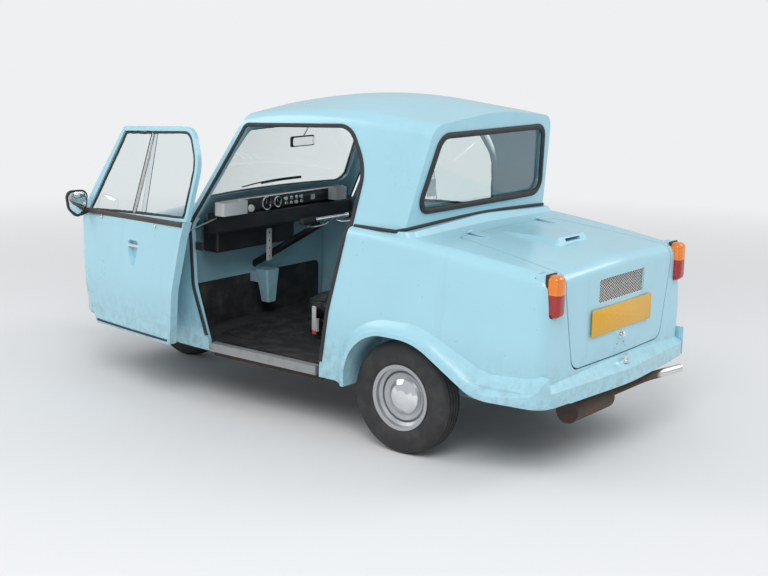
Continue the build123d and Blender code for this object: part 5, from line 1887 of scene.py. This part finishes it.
@dataclass
class Footwell:
    """Floor, toe board and the steering column's bracket."""

    finish: Finishes
    rib_size: Corner = (0.330, 0.007, 0.004)
    ribs: int = 49
    rib_pitch: float = 0.018
    first_rib: Corner = (1.090, -0.432, 0.2935)
    bracket_x: float = 1.247
    bracket_holes: int = 4
    hole_pitch: float = 0.040
    first_hole: Corner = (1.244, 0.068, 0.622)

    def build(self) -> None:
        """Lay the mat's ribs and the carpet, and fix the bracket."""
        x, y, z = self.first_rib
        ribs = [solid_block(self.rib_size, (x, y + self.rib_pitch * index, z), edge=0.0014, steps=2)
                for index in range(self.ribs)]
        finish_mesh(join_blocks(ribs), "floor_mat_ribs", self.finish.mat)
        outline = rounded_outline(((-0.500, 0.2925, 0.0), (0.500, 0.2925, 0.0), (0.500, 0.510, 0.030),
                                   (-0.500, 0.510, 0.030)), arc_steps=5)
        carpet = slab(outline, 0.006, facing((1.4055, 0.0, 0.0)), edge=0.002)
        finish_mesh(carpet, "toe_carpet", self.finish.mat)
        outline = rounded_rectangle((-0.086, 0.600), (-0.050, 0.762), radius=0.006)
        bracket = slab(outline, 0.003, facing((self.bracket_x, 0.0, 0.0)), edge=0.001)
        finish_mesh(bracket, "column_bracket", self.finish.white)
        # Black discs stand for the bracket's holes: painted shade seen through them.
        profile = [(0.0, 0.0005), (0.0044, 0.0005), (0.0050, -0.001)]
        x, y, z = self.first_hole
        for index in range(self.bracket_holes):
            disc = turned(profile, Vector((x, y, z + self.hole_pitch * index)), BACK, steps=20)
            finish_mesh(disc, f"column_bracket_hole_shade_{index}", self.finish.black)


@dataclass
class Controls:
    """Ribbed grips and brake levers of the tiller, and the belt's release."""

    finish: Finishes
    grip_start: Corner = (0.905, 0.120, 0.846)
    grip_radius: float = 0.0157
    rib_radius: float = 0.0172
    ribs: int = 11
    rib_pitch: float = 0.0083
    lever: tuple[Corner, ...] = (
        (0.897, 0.030, 0.832), (0.890, 0.060, 0.822), (0.886, 0.130, 0.818), (0.888, 0.200, 0.822))

    def build(self) -> None:
        """Fit both ends of the tiller, then the belt's stalk."""
        for side, word in SIDES:
            x, y, z = self.grip_start
            grip = turned(self.grip_profile(), Vector((x, side * y, z)), Vector((0.0, side, 0.0)), steps=24)
            finish_mesh(grip, f"tiller_grip_{word}", self.finish.seal, "tiller")
            path = [(x, side * y, z) for x, y, z in self.lever]
            tube(f"tiller_lever_{word}", path, 0.0042, self.finish.chrome, "tiller")
        button = solid_block((0.022, 0.010, 0.020), (0.785, 0.256, 0.336), edge=0.004)
        finish_mesh(button, "belt_release_button", self.finish.orange)
        stalk = solid_block((0.024, 0.008, 0.118), (0.787, 0.256, 0.404), edge=0.003)
        finish_mesh(stalk, "belt_stalk", self.finish.white)

    def grip_profile(self) -> list[Flat]:
        """Section of a grip as (radius, along), with raised ribs.

        Returns:
            The points, from the inner end to the outer one.
        """
        profile = [(0.0100, -0.001)]
        for index in range(self.ribs):
            along = 0.003 + self.rib_pitch * index
            profile += [(self.grip_radius, along), (self.rib_radius, along + 0.0020),
                        (self.rib_radius, along + 0.0048), (self.grip_radius, along + 0.0068)]
        return profile + [(self.grip_radius, 0.0950), (0.0120, 0.0968), (0.0, 0.0970)]


@dataclass
class Cabin:
    """Everything inside."""

    finish: Finishes
    mirror_z: float = 1.205
    mirror_half: Flat = (0.079, 0.020)

    def build(self) -> None:
        """Dress the plain nodes of the cabin and furnish it."""
        finish = self.finish
        # The darker copy of the body paint paints the cabin's shade.
        dress(finish.gelcoat_shaded_inside, "rear_bulkhead", "toe_board")
        dress(finish.mat, "floor_pan")
        dress(finish.alloy, "sill_treads")
        dress(finish.black, "dashboard")
        dress(finish.paint_black, "steering_column", "seat_frame")
        dress(finish.chrome, "tiller")
        Seat(finish).build()
        Dash(finish).build()
        Footwell(finish).build()
        Controls(finish).build()
        self.interior_mirror()
        self.window_card()

    def interior_mirror(self) -> None:
        """Mirror hung from the roof behind the windscreen."""
        front = Skin("windscreen").hit((0.70, 0.0, self.mirror_z), AHEAD)
        head = Skin("cabin_top").hit((0.98, 0.0, 1.10), UP)
        if front is None or head is None:
            return
        x = front[0].x - 0.060
        case = solid_block((0.018, 0.170, 0.052), (x, 0.0, self.mirror_z), edge=0.008)
        finish_mesh(case, "interior_mirror_case", self.finish.black)
        half_y, half_z = self.mirror_half
        outline = rounded_rectangle((-half_y, -half_z), (half_y, half_z), radius=0.012, arc_steps=5)
        glass = slab(outline, 0.001, facing((x - 0.0088, 0.0, self.mirror_z)))
        finish_mesh(glass, "interior_mirror_glass", self.finish.mirror)
        stem = [(x, 0.0, 1.225), (x - 0.02, 0.0, 1.250), head[0]]
        tube("interior_mirror_stem", stem, 0.004, self.finish.chrome)

    def window_card(self) -> None:
        """Blank card inside the rear window."""
        found = Skin("rear_window").hit((0.30, 0.395, 1.109), BACK)
        if found is not None:
            card = solid_block((0.0014, 0.060, 0.072), found[0] + Vector((0.003, 0.0, 0.0)), 0.0004, 1)
            finish_mesh(card, "window_card", self.finish.blank)


@dataclass
class Underside:
    """Chassis, running gear and exhaust."""

    finish: Finishes
    pipe_mouth: Corner = (-0.752, -0.470, 0.292)
    pipe_way: Corner = (-0.290, -0.957, 0.0)

    def build(self) -> None:
        """Dress the metalwork and finish the tailpipe's mouth."""
        dress(self.finish.rust, "chassis_frame", "rear_arms", "front_fork")
        dress(self.finish.block, "engine")
        dress(self.finish.exhaust, "exhaust")
        mouth, way = Vector(self.pipe_mouth), Vector(self.pipe_way)
        lip = [(0.0144, -0.002), (0.0147, 0.0014), (0.0172, 0.0014), (0.0176, -0.004), (0.0144, -0.004),
               (0.0144, -0.002)]
        finish_mesh(turned(lip, mouth, way, steps=36), "tailpipe_lip", self.finish.pipe)
        # Black disc inside the mouth: the pipe's soot, and painted shade for its dark hollow.
        sooty_bore_shade = [(0.0, 0.0006), (0.0145, 0.0006), (0.0145, -0.0020)]
        finish_mesh(turned(sooty_bore_shade, mouth, way, steps=36), "tailpipe_sooty_bore_shade", self.finish.black)


def main() -> None:
    """Build the carriage's looks in order."""
    finish = Finishes()
    Studio().build()
    Bodywork(finish).build()
    EngineLid(finish).build()
    Sills(finish).build()
    Nose(finish).build()
    Lamps(finish).build()
    Doors(finish).build()
    Cabin(finish).build()
    Underside(finish).build()
    for body, x, y, side in (("wheel_rear_left", 0.0, HALF_TRACK, 1.0),
                             ("wheel_rear_right", 0.0, -HALF_TRACK, -1.0),
                             ("wheel_front", WHEELBASE, 0.0, 1.0)):
        Wheel(finish, body, Vector((x, y, AXLE_Z)), side).build()


if __name__ == "__main__":
    logging.basicConfig(level=logging.WARNING)
    main()
